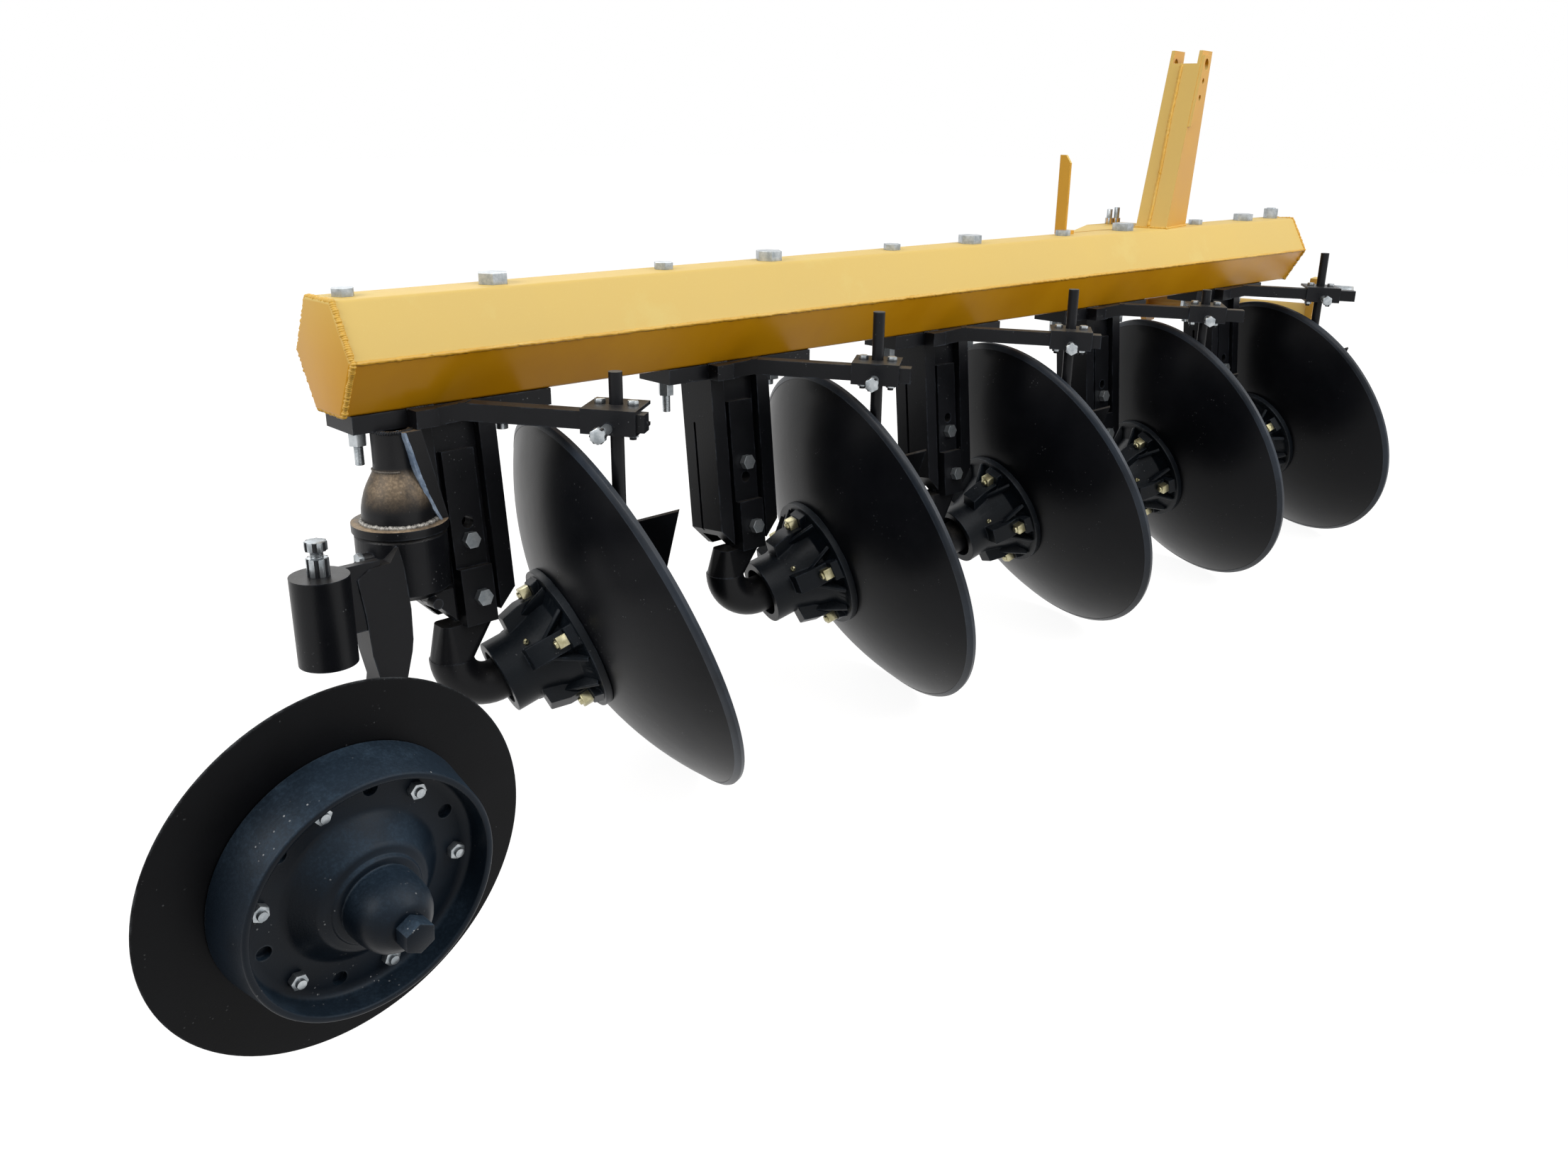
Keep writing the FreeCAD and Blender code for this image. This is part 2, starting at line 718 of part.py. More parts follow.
def make_spring():
    """Compression spring of tilted half turns between the box and the axle's seat."""
    low = spring_seat + spring_wire_r
    high = spring_box_bottom - 0.3 - spring_wire_r
    halves = 6
    rise = (high - low) / halves
    turns = []
    for i in range(halves):
        side = 1 if i % 2 == 0 else -1
        start = vec(spring_x + side * spring_r, spring_y, low + rise * i)
        end = vec(spring_x - side * spring_r, spring_y, low + rise * (i + 1))
        axis = vec(end.z - start.z, 0, start.x - end.x) * side
        ring = Part.Face(Part.Wire(Part.makeCircle(spring_wire_r, start, vec(0, 1, 0))))
        turns.append(ring.revolve((start + end) * 0.5, axis * side, 180))
    return fuse(turns)


def make_axle():
    """Bar from the arm's foot, under the spring, to the elbow and the wheel's journal."""
    c, n = wheel_frame()
    elbow = c - n * 150.0
    knee = vec(10, arm_front - axle_r - 0.3, -478)
    bar = rod(knee, elbow, axle_r)
    arm = rod(elbow, c - n * 40.0, axle_r + 4.0)
    journal = rod(c - n * 45.0, c + n * 118.0, wheel_bore_r - 0.05)
    ball = Part.makeSphere(axle_r + 4.0, elbow)
    end = Part.makeSphere(axle_r, knee)
    seat = rod(vec(spring_x, spring_y, spring_seat - 40), vec(spring_x, spring_y, spring_seat), 34.0)
    return fuse([bar, arm, journal, ball, end, seat])


def make_wheel_disc_shape():
    return revolve([(drum_r - 18, -wheel_disc_thick / 2), (wheel_r, -wheel_disc_thick / 2 + 3),
                    (wheel_r, wheel_disc_thick / 2 - 3), (drum_r - 18, wheel_disc_thick / 2)])


def make_drum_shape():
    """Cast drum: outer lip, recessed web, stepped hub and cap with its hexagon."""
    base = wheel_disc_thick / 2 + 0.2
    drum = revolve([(wheel_bore_r, base - 34), (46, base - 34), (60, base), (drum_base_r, base), (drum_r - 3, drum_lip),
                    (drum_r - 3 - drum_wall, drum_lip), (drum_r - 5 - drum_wall, drum_web + 6),
                    (drum_r - 12 - drum_wall, drum_web), (hub_step_r, drum_web), (hub_step_r - 6, drum_web + 30),
                    (wheel_hub_r, drum_web + 34), (wheel_hub_r - 3, wheel_hub_end), (30, cap_end - 4),
                    (24, cap_end), (0, cap_end), (0, 120), (wheel_bore_r, 120)])
    studs = []
    for i in range(len(STUD_ANGLES)):
        a = math.radians(STUD_ANGLES[i])
        x = stud_circle * math.cos(a)
        y = stud_circle * math.sin(a)
        studs.append(hexagon(stud_flats, drum_web - 1, drum_web + 9, x, y, 20.0 * i))
        studs.append(rod(vec(x, y, drum_web - 1), vec(x, y, drum_web + 14), stud_r))
    cap = hexagon(cap_flats, cap_end - 1, cap_end + cap_nut_height)
    drum = fuse([drum, cap] + studs)
    hollow = revolve([(62, base - 1), (drum_r - 14, base - 1), (drum_r - 20, drum_web - drum_web_thick),
                      (62, drum_web - drum_web_thick)])
    drum = drum.cut(hollow)
    holes = []
    for i in range(len(STUD_ANGLES)):
        a = math.radians(STUD_ANGLES[i] + wheel_hole_turn)
        x = stud_circle * math.cos(a)
        y = stud_circle * math.sin(a)
        holes.append(rod(vec(x, y, 0), vec(x, y, 60), wheel_hole_r))
    return drum.cut(holes)


def carry_to_wheel(shape):
    c, n = wheel_frame()
    u, v = axes_of(n)
    return placed(shape, c, u, v, n)


# Headstock

def travel_axes():
    """Way ahead and way to the right of the headstock."""
    ahead = heading(travel_heading, 0.0)
    return ahead, vec(ahead.y, -ahead.x, 0)


def pin_centre(side):
    """Middle of a lower hitch pin; side is 1 for the right one and -1 for the left one."""
    ahead, right = travel_axes()
    reach = cross_half + crank_thick + pin_length / 2.0
    return vec(cross_x, cross_y, cross_z + crank_offset) + right * (side * reach)


def in_travel(shape, base):
    """Carry a shape drawn with +X ahead and +Y to the left into the headstock's heading."""
    ahead, right = travel_axes()
    return placed(shape, base, ahead, right * -1.0, vec(0, 0, 1))


def make_headstock():
    """Small plate on the beam, and beside it a shelf, a wall and two cheeks to the cross shaft."""
    top = beam_half_height
    top = top - deck_thick
    plate = prism([vec(1747, 26, top), vec(2120, 26, top), vec(2120, 151, top), vec(1976, 151, top),
                   vec(1747, 42, top)], vec(0, 0, deck_thick))
    post = box(1980, 1996, 40, 145, -40, top + 1)
    studs = []
    for x, y, tall in ((2039.0, 133.0, 34.0), (2054.0, 123.0, 38.0)):
        studs.append(rod(vec(x, y, top - 20), vec(x, y, top + deck_thick + tall), 6.0))
        studs.append(hexagon(16.0, top + deck_thick - 0.5, top + deck_thick + 14, x, y))
    shelf = prism([vec(1800, 79, -6), vec(2606, 79, -6), vec(2690, 140, -6), vec(2640, 390, -6), vec(2250, 300, -6),
                   vec(1900, 160, -6)], vec(0, 0, deck_thick))
    shaft = vec(cross_x, cross_y, 0)
    cheeks = []
    for left in (-115.0, 45.0):
        y = left - cheek_thick / 2.0
        cheeks.append(in_travel(prism([vec(-330, y, -4), vec(-20, y, 20), vec(30, y, 10), vec(52, y, cross_z + 60),
                                       vec(52, y, cross_z - 30), vec(30, y, cross_z - 52),
                                       vec(-30, y, cross_z - 52), vec(-60, y, cross_z - 20), vec(-330, y, -50)],
                                      vec(0, cheek_thick, 0)), shaft))
    brace = in_travel(box(-180, -166, -115, 45, -75, -4), shaft)
    body = fuse([plate, post, shelf, brace] + cheeks + studs)
    ahead, right = travel_axes()
    axis = vec(cross_x, cross_y, cross_z)
    bore = rod(axis - right * 250, axis + right * 250, cross_r + 0.05)
    keep_out = prism(beam_section(-10, -0.3), vec(beam_length + 20, 0, 0))
    foot = in_travel(mast_block(), vec(mast_x, mast_y, beam_half_height))
    return body.cut([bore, keep_out, foot])


def mast_block():
    """Solid outline of the mast with its foot on Z = 0."""
    w = mast_width / 2.0
    high = mast_height + ear_height
    top_back = mast_lean * high / mast_height
    outline = [vec(0, -w, 0), vec(mast_root_depth, -w, 0), vec(top_back + mast_top_depth, -w, high),
               vec(top_back, -w, high)]
    return prism(outline, vec(0, 2 * w, 0))


def link_point():
    """Middle of the top link's pin hole, above the mast's foot."""
    high = mast_height + ear_height - link_below_top
    return vec(mast_lean / mast_height * high + strip_width / 2.0, 0, high)


def make_mast():
    """Hollow tapered column leaning ahead, open between two ears at its top."""
    base = vec(mast_x, mast_y, beam_half_height)
    w = mast_width / 2.0
    high = mast_height + ear_height
    top_back = mast_lean * high / mast_height
    block = mast_block()
    inner = [vec(mast_wall, -w + mast_wall, -1), vec(mast_root_depth - mast_wall, -w + mast_wall, -1),
             vec(top_back + mast_top_depth - mast_wall, -w + mast_wall, high + 1),
             vec(top_back + mast_wall, -w + mast_wall, high + 1)]
    hollow = prism(inner, vec(0, 2 * w - 2 * mast_wall, 0))
    mouth = box(top_back - 6, 400, -w + mast_wall, w - mast_wall, high - mouth_height, high + 1)
    notch = box(-50, 400, -w + mast_wall, w - mast_wall, high - ear_notch, high + 1)
    slope = mast_lean / mast_height
    strip_top = high - 10.0
    strip_low = high - strip_length
    side = -w - strip_thick
    strip = prism([vec(slope * strip_low + strip_inset, side, strip_low), vec(slope * strip_low + strip_width, side, strip_low + 15),
                   vec(slope * strip_top + strip_width, side, strip_top), vec(slope * strip_top + strip_inset, side, strip_top)],
                  vec(0, strip_thick + 0.5, 0))
    body = fuse([block, strip]).cut([hollow, mouth, notch])
    pin = link_point()
    holes = [rod(pin + vec(0, -200, 0), pin + vec(0, 200, 0), link_pin_r)]
    for drop in SPARE_HOLE_DROPS:
        spare = vec(slope * (high - drop) + strip_width / 2.0, 0, high - drop)
        holes.append(rod(spare + vec(0, side - 10, 0), spare + vec(0, -w + mast_wall + 1, 0), spare_hole_r))
    return in_travel(body.cut(holes), base)


def make_cross_shaft():
    """Tube across the headstock with a crank plate and a hitch pin at each end."""
    ahead, right = travel_axes()
    mid = vec(cross_x, cross_y, cross_z)
    up = vec(0, 0, 1)
    pieces = [rod(mid - right * cross_half, mid + right * cross_half, cross_r)]
    for side in (-1, 1):
        end = mid + right * (side * cross_half)
        plate = prism([end - up * (cross_r + 6) - ahead * 34, end - up * (cross_r + 6) + ahead * 34,
                       end + up * (crank_offset + 30) + ahead * 26, end + up * (crank_offset + 30) - ahead * 26],
                      right * (side * crank_thick))
        root = end + up * crank_offset
        tip = root + right * (side * (crank_thick + pin_length))
        linch = root + right * (side * (crank_thick + pin_length - 16.0))
        hole = rod(linch - up * 40, linch + up * 40, linch_r)
        pieces += [plate, rod(root, tip, pin_r).cut(hole)]
    return fuse(pieces)


def make_stay():
    """Small upright flat with a bent foot on the beam's top."""
    top = beam_half_height
    flat = prism([vec(1688, 12, top), vec(1688, 39, top), vec(1688, 39, top + 163), vec(1688, 24, top + 163),
                  vec(1688, 12, top + 147)], vec(6, 0, 0))
    foot = box(1688, 1722, 12, 38, top, top + 8)
    return fuse([flat, foot])


# Build all pieces, move them to the hitch pin and write them

def build():
    pieces = {"main_beam": make_beam(), "beam_bolts": make_beam_bolts()}
    disc = make_disc_shape()
    hub = make_hub_shape()
    tang_bolts = []
    for k in range(disc_count):
        name = str(k + 1)
        pieces["leg_" + name] = make_leg(k)
        pieces["spindle_" + name] = make_spindle(k)
        tang_bolts += make_tang_bolts(k)
        pieces["hub_" + name] = carry_to_disc(hub, k)
        pieces["disc_" + name] = carry_to_disc(disc, k)
        pieces["scraper_arm_" + name] = make_scraper_arm(k)
        pieces["scraper_" + name] = make_scraper(k)
    pieces["spindle_bolts"] = Part.Compound(tang_bolts)
    pieces["furrow_bracket"] = make_furrow_bracket()
    pieces["furrow_swivel"] = make_swivel()
    pieces["furrow_spring_box"] = make_spring_box()
    pieces["furrow_spring"] = make_spring()
    pieces["furrow_axle"] = make_axle()
    pieces["furrow_wheel_disc"] = carry_to_wheel(make_wheel_disc_shape())
    pieces["furrow_wheel_drum"] = carry_to_wheel(make_drum_shape())
    pieces["headstock"] = make_headstock()
    pieces["mast"] = make_mast()
    pieces["cross_shaft"] = make_cross_shaft()
    pieces["beam_stay"] = make_stay()
    return pieces


def main():
    os.makedirs("parts", exist_ok=True)
    origin = pin_centre(1)
    for name, shape in build().items():
        shape = shape.copy()
        shape.translate(origin * -1.0)
        ok = shape.isValid()
        print(name, "solids", len(shape.Solids), "valid", ok, "volume cm3", round(shape.Volume / 1000.0, 1))
        shape.exportStep("parts/" + name + ".step")
    print("origin", origin)


main()
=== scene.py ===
# %% [markdown]
# Disc plough, dressed for the camera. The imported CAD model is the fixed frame: it brings the
# sizes and the places, and nothing of it is moved here. This script rounds its edges, adds the
# small things that CAD leaves out (welds, threads, square nuts, cut edges) and paints it all.

# %% Load the frame
import json
import math
import random

import bpy
from mathutils import Matrix, Vector


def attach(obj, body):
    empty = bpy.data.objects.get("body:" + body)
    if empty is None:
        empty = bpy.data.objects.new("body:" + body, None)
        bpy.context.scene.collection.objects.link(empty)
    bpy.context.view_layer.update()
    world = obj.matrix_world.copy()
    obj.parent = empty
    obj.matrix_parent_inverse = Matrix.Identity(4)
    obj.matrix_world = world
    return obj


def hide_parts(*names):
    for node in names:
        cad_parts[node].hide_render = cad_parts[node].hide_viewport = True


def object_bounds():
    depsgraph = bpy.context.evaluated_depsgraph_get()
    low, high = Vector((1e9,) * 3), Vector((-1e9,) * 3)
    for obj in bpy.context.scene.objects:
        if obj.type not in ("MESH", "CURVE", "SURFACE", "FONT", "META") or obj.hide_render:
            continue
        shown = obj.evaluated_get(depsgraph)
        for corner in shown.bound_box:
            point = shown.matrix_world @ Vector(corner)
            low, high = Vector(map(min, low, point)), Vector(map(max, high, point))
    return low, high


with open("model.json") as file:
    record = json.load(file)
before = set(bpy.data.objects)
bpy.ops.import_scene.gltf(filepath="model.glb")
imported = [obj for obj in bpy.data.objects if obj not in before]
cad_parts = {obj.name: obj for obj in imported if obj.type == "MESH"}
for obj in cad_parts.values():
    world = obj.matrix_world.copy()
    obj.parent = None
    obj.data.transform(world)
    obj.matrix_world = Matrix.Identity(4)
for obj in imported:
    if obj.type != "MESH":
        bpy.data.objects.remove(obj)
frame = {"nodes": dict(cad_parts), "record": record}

cad_low, cad_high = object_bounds()
print("CAD box", [round(v, 3) for v in cad_low], [round(v, 3) for v in cad_high])

# %% [markdown]
# The drawing of the plough is read in millimetres from the rear end of the beam. The model's
# zero is the right hitch pin, so one small helper carries a drawing point to scene metres.

# %% Sizes shared by the pieces
HITCH_PIN = Vector((2773.690, -111.800, -112.0))
BEAM_LENGTH = 2631.0
BEAM_HALF_HEIGHT = 77.0
BEAM_HALF_FLAT = 38.0
BEAM_RIDGE = 82.0
PLATE_BOTTOM = -102.0
DISC_SPACING = 542.0
SWIVEL = Vector((74.0, -31.0, 0.0))

# One row per disc: heading and rise of its axle in degrees, lift in millimetres, and the hub's
# turn in degrees
DISCS = [
    (-12.8, 20.7, 0.0, 8.0),
    (-15.4, 18.9, 8.0, 22.0),
    (-13.5, 21.6, 0.0, 36.5),
    (-16.8, 20.4, 0.0, 43.5),
    (-16.3, 21.0, -4.0, 3.0),
]
HUB_COLLAR = (200.0, -58.0, -505.0)
COLLAR_TO_RIM = 0.221


def spot(x, y, z):
    """Scene point of a drawing point in millimetres."""
    return (Vector((x, y, z)) - HITCH_PIN) / 1000.0


def pointing(heading, rise):
    """Unit vector from a heading off +X and a rise above the level, in degrees."""
    a = math.radians(heading)
    e = math.radians(rise)
    return Vector((math.cos(e) * math.cos(a), math.cos(e) * math.sin(a), math.sin(e)))


def axle_frame(origin, n):
    """Matrix whose Z is the axle n, its X level and its Y the steepest way up."""
    u = Vector((0, 0, 1)).cross(n)
    u = Vector((1, 0, 0)) if u.length < 0.0001 else u.normalized()
    v = n.cross(u)
    turn = Matrix((u, v, n)).transposed().to_4x4()
    return Matrix.Translation(origin) @ turn


def hub_matrix(k):
    """Frame of hub k: zero in the middle of the disc's rim, Z out of its hollow."""
    heading, rise, lift, turn = DISCS[k]
    n = pointing(heading, rise)
    x, y, z = HUB_COLLAR
    collar = spot(DISC_SPACING * k + x, y, z + lift)
    return axle_frame(collar + n * COLLAR_TO_RIM, n) @ Matrix.Rotation(math.radians(turn), 4, "Z")


print("drawing zero is at", [round(v, 3) for v in spot(0, 0, 0)])

# %% [markdown]
# Real camera angle: the photographer stood behind the rear furrow wheel and looked slightly
# down along the beam. Heading, tilt, roll and lens were solved from the beam's straight edges
# and the round rims of the discs, so they are typed in as they came out.

# %% Camera
CAMERA_PLACE = (-3.51734, -1.57115, 0.41743)
CAMERA_LOOK_RIGHT = 43.51
CAMERA_LOOK_DOWN = 19.83
CAMERA_ROLL = 0.68
LENS = 29.87

camera_data = bpy.data.cameras.new("camera")
camera = bpy.data.objects.new("camera", camera_data)
bpy.context.collection.objects.link(camera)
look = Matrix.Rotation(math.radians(-CAMERA_LOOK_RIGHT), 4, "Z")
look = look @ Matrix.Rotation(math.radians(90.0 - CAMERA_LOOK_DOWN), 4, "X")
look = look @ Matrix.Rotation(math.radians(CAMERA_ROLL), 4, "Z")
camera.matrix_world = Matrix.Translation(CAMERA_PLACE) @ look
camera_data.lens = LENS
camera_data.sensor_width = 36.0
camera_data.clip_start = 0.05
bpy.context.scene.camera = camera
print("camera at", CAMERA_PLACE)

# %% [markdown]
# Materials are built from small node groups. Each group is one effect that several finishes
# share, and it puts out only a mask or a height. The shader itself stays in the material.

# %% Node helpers
def add(tree, kind, at=(0, 0), **settings):
    """New node of a kind at a place on the sheet, with its settings."""
    node = tree.nodes.new(kind)
    node.location = at
    for name, value in settings.items():
        setattr(node, name, value)
    return node


def join(tree, source, target):
    """Link an output socket to an input socket."""
    tree.links.new(source, target)


def new_group(name, inputs, outputs):
    """Empty node group with named inputs (name: default) and named outputs."""
    group = bpy.data.node_groups.new(name, "ShaderNodeTree")
    for label, value in inputs.items():
        socket = group.interface.new_socket(name=label, in_out="INPUT", socket_type="NodeSocketFloat")
        socket.default_value = value
    for label in outputs:
        group.interface.new_socket(name=label, in_out="OUTPUT", socket_type="NodeSocketFloat")
    start = add(group, "NodeGroupInput", (-900, 0))
    end = add(group, "NodeGroupOutput", (700, 0))
    return group, start, end


def maths(tree, operation, first, second=None, at=(0, 0), clamp=False):
    """Math node whose inputs are sockets or plain numbers."""
    node = add(tree, "ShaderNodeMath", at, operation=operation, use_clamp=clamp)
    for place, value in enumerate((first, second)):
        if value is None:
            continue
        if isinstance(value, (int, float)):
            node.inputs[place].default_value = value
        else:
            join(tree, value, node.inputs[place])
    return node.outputs[0]


def noise(tree, place, scale, detail=4.0, roughness=0.55, at=(0, 0)):
    """Noise over the object, scale in cells per metre."""
    node = add(tree, "ShaderNodeTexNoise", at)
    node.inputs["Detail"].default_value = detail
    node.inputs["Roughness"].default_value = roughness
    join(tree, place, node.inputs["Vector"])
    if isinstance(scale, (int, float)):
        node.inputs["Scale"].default_value = scale
    else:
        join(tree, scale, node.inputs["Scale"])
    return node.outputs["Fac"]


def ramp(tree, value, low, high, at=(0, 0)):
    """Smooth step of a value from low to high; each limit is a number or a socket."""
    node = add(tree, "ShaderNodeMapRange", at, interpolation_type="SMOOTHSTEP")
    join(tree, value, node.inputs["Value"])
    for name, limit in (("From Min", low), ("From Max", high)):
        if isinstance(limit, (int, float)):
            node.inputs[name].default_value = limit
        else:
            join(tree, limit, node.inputs[name])
    return node.outputs["Result"]


# %% [markdown]
# Dust settles on what faces the sky, and on some finishes the same film is also a painted sheen:
# upward faces made lighter, as the bright sky would light them. The group compares the surface's
# normal with straight up and breaks the film with noise. Evenness is the least that the noise
# leaves of it: a washed machine keeps an even film, a neglected one has patches.

# %% Settled dust and painted sheen
def make_dust_and_sheen_group():
    """Mask of the dust, and of the painted sky sheen, on what faces the sky."""
    inputs = {"Amount": 0.5, "Patch Scale": 9.0, "Start": 0.05, "Full": 0.95, "Evenness": 0.0}
    group, start, end = new_group("settled_dust_and_painted_sheen", inputs, ["Mask"])
    place = add(group, "ShaderNodeTexCoord", (-900, -200)).outputs["Object"]
    shape = add(group, "ShaderNodeNewGeometry", (-900, -400))
    parts = add(group, "ShaderNodeSeparateXYZ", (-700, -400))
    join(group, shape.outputs["Normal"], parts.inputs[0])
    up = ramp(group, parts.outputs["Z"], start.outputs["Start"], start.outputs["Full"], (-500, -400))
    patches = noise(group, place, start.outputs["Patch Scale"], 6.0, 0.6, (-700, 0))
    patches = ramp(group, patches, 0.30, 0.72, (-500, 0))
    patches = maths(group, "MAXIMUM", patches, start.outputs["Evenness"], (-400, 100))
    grains = ramp(group, noise(group, place, 260.0, 2.0, 0.6, (-700, 200)), 0.25, 0.75, (-500, 200))
    grains = maths(group, "MAXIMUM", grains, start.outputs["Evenness"], (-400, 200))
    dust_and_sheen_film = maths(group, "MULTIPLY", up, patches, (-300, -200))
    dust_and_sheen_film = maths(group, "MULTIPLY", dust_and_sheen_film, maths(group, "ADD", grains, 0.55, (-300, 200)), (-100, 0))
    dust_and_sheen_film = maths(group, "MULTIPLY", dust_and_sheen_film, start.outputs["Amount"], (100, 0), True)
    join(group, dust_and_sheen_film, end.inputs["Mask"])
    return group


DUST_AND_SHEEN = make_dust_and_sheen_group()

# %% [markdown]
# Paint is knocked thin along edges. A bevel node asks how much the surface turns within a few
# millimetres; where that rounded normal leaves the true one there is an edge, and noise lets
# the wear come and go along it.

# %% Edge wear
def make_wear_group():
    """Mask of the thin paint along edges."""
    group, start, end = new_group("edge_wear", {"Amount": 0.5, "Breakup": 30.0}, ["Mask"])
    place = add(group, "ShaderNodeTexCoord", (-900, -200)).outputs["Object"]
    shape = add(group, "ShaderNodeNewGeometry", (-900, -400))
    soft = add(group, "ShaderNodeBevel", (-900, -600), samples=4)
    soft.inputs["Radius"].default_value = 0.004
    angle = add(group, "ShaderNodeVectorMath", (-700, -400), operation="DOT_PRODUCT")
    join(group, shape.outputs["Normal"], angle.inputs[0])
    join(group, soft.outputs["Normal"], angle.inputs[1])
    turned = maths(group, "SUBTRACT", 1.0, angle.outputs["Value"], (-500, -400))
    edge = ramp(group, turned, 0.02, 0.22, (-300, -400))
    broken = noise(group, place, start.outputs["Breakup"], 5.0, 0.7, (-700, 0))
    broken = ramp(group, broken, 0.42, 0.66, (-500, 0))
    worn = maths(group, "MULTIPLY", edge, broken, (-100, -200))
    worn = maths(group, "MULTIPLY", worn, start.outputs["Amount"], (100, 0), True)
    join(group, worn, end.inputs["Mask"])
    return group


WEAR = make_wear_group()

# %% [markdown]
# Stones knock small chips out of a coat, and they come in crowds. Round cells make the chips
# and a slow noise says where the crowds are, so most of the surface stays whole.

# %% Stone chips
def make_chip_group():
    """Mask of the stone chips."""
    inputs = {"Amount": 0.0, "Chip Scale": 190.0, "Crowd": 0.57}
    group, start, end = new_group("stone_chips", inputs, ["Mask"])
    place = add(group, "ShaderNodeTexCoord", (-900, -200)).outputs["Object"]
    cells = add(group, "ShaderNodeTexVoronoi", (-700, 0))
    join(group, place, cells.inputs["Vector"])
    join(group, start.outputs["Chip Scale"], cells.inputs["Scale"])
    chips = ramp(group, cells.outputs["Distance"], 0.24, 0.18, (-500, 0))
    edge = maths(group, "ADD", start.outputs["Crowd"], 0.07, (-500, -300))
    crowds = noise(group, place, 17.0, 4.0, 0.6, (-700, -300))
    crowds = ramp(group, crowds, start.outputs["Crowd"], edge, (-300, -300))
    sparse = ramp(group, noise(group, place, 95.0, 1.0, 0.5, (-700, -500)), 0.50, 0.60, (-300, -500))
    mask = maths(group, "MULTIPLY", chips, crowds, (-100, 0))
    mask = maths(group, "MULTIPLY", mask, sparse, (100, -100))
    mask = maths(group, "MULTIPLY", mask, start.outputs["Amount"], (300, 0), True)
    join(group, mask, end.inputs["Mask"])
    return group


CHIPS = make_chip_group()

# %% [markdown]
# Sprayed paint has two scales of unevenness: clouds of thicker and thinner coat over a hand's
# width, and the fine orange peel of the dried drops. The group gives one output for each.

# %% Sprayed coat
def make_coat_group():
    """Clouds and orange peel of a sprayed coat."""
    inputs = {"Cloud Scale": 5.0, "Peel Scale": 420.0}
    group, start, end = new_group("sprayed_coat", inputs, ["Clouds", "Peel"])
    place = add(group, "ShaderNodeTexCoord", (-900, -200)).outputs["Object"]
    clouds = noise(group, place, start.outputs["Cloud Scale"], 5.0, 0.6, (-600, 0))
    peel = noise(group, place, start.outputs["Peel Scale"], 2.0, 0.5, (-600, -200))
    join(group, clouds, end.inputs["Clouds"])
    join(group, peel, end.inputs["Peel"])
    return group


COAT = make_coat_group()


def use(tree, group, at=(0, 0), **values):
    """Place a node group in a material, with its own values (underscores stand for spaces)."""
    node = add(tree, "ShaderNodeGroup", at, node_tree=group)
    for name, value in values.items():
        node.inputs[name.replace("_", " ")].default_value = value
    return node


def blend_colour(tree, mask, first, second, at=(0, 0)):
    """Colour mix by a mask; each side is a socket or a plain colour."""
    node = add(tree, "ShaderNodeMix", at, data_type="RGBA")
    join(tree, mask, node.inputs["Factor"])
    for socket, value in ((node.inputs[6], first), (node.inputs[7], second)):
        if isinstance(value, tuple):
            socket.default_value = (*value, 1.0)
        else:
            join(tree, value, socket)
    return node.outputs[2]


# %% [markdown]
# One recipe serves all painted parts: two close shades of the coat, dust above it, on some finishes
# mixed with a painted sheen of the sky, and wear down to primer or steel on the edges. Gloss falls
# where that film lies, so roughness follows it.

# %% Paint recipe
CHIPPED_METAL = (0.42, 0.43, 0.44)


def make_paint(name, dark, light, dust_and_sheen_colour, worn, rough, gloss, dust_and_sheen_film, wear, peel, coat=0.0, chips=0.0):
    """Painted finish; the film values set the settled dust and the painted sheen on upward faces."""
    material = bpy.data.materials.new(name)
    material.use_nodes = True
    tree = material.node_tree
    shader = tree.nodes["Principled BSDF"]
    sprayed = use(tree, COAT, (-900, 200))
    dust_and_sheen = use(tree, DUST_AND_SHEEN, (-900, -100), **dust_and_sheen_film)
    edges = use(tree, WEAR, (-900, -300), Amount=wear)
    clouds = ramp(tree, sprayed.outputs["Clouds"], 0.3, 0.7, (-650, 300))
    colour = blend_colour(tree, clouds, dark, light, (-450, 300))
    # Dust, and on some finishes a painted sky sheen, lightens the upward faces.
    colour = blend_colour(tree, dust_and_sheen.outputs["Mask"], colour, dust_and_sheen_colour, (-250, 300))
    colour = blend_colour(tree, edges.outputs["Mask"], colour, worn, (-50, 300))
    if chips:
        spots = use(tree, CHIPS, (-900, -500), Amount=chips)
        colour = blend_colour(tree, spots.outputs["Mask"], colour, CHIPPED_METAL, (100, 300))
    join(tree, colour, shader.inputs["Base Color"])
    dull = maths(tree, "MULTIPLY", dust_and_sheen.outputs["Mask"], 0.35, (-450, -100))
    uneven = maths(tree, "MULTIPLY", sprayed.outputs["Clouds"], 0.18, (-450, 0))
    level = maths(tree, "ADD", dull, uneven, (-250, -100))
    level = maths(tree, "ADD", level, rough - 0.09, (-50, -100), True)
    join(tree, level, shader.inputs["Roughness"])
    bump = add(tree, "ShaderNodeBump", (-250, -400))
    bump.inputs["Strength"].default_value = peel
    bump.inputs["Distance"].default_value = 0.0006
    join(tree, sprayed.outputs["Peel"], bump.inputs["Height"])
    join(tree, bump.outputs["Normal"], shader.inputs["Normal"])
    shader.inputs["Specular IOR Level"].default_value = gloss
    shader.inputs["Coat Weight"].default_value = coat
    shader.inputs["Coat Roughness"].default_value = 0.22
    return material


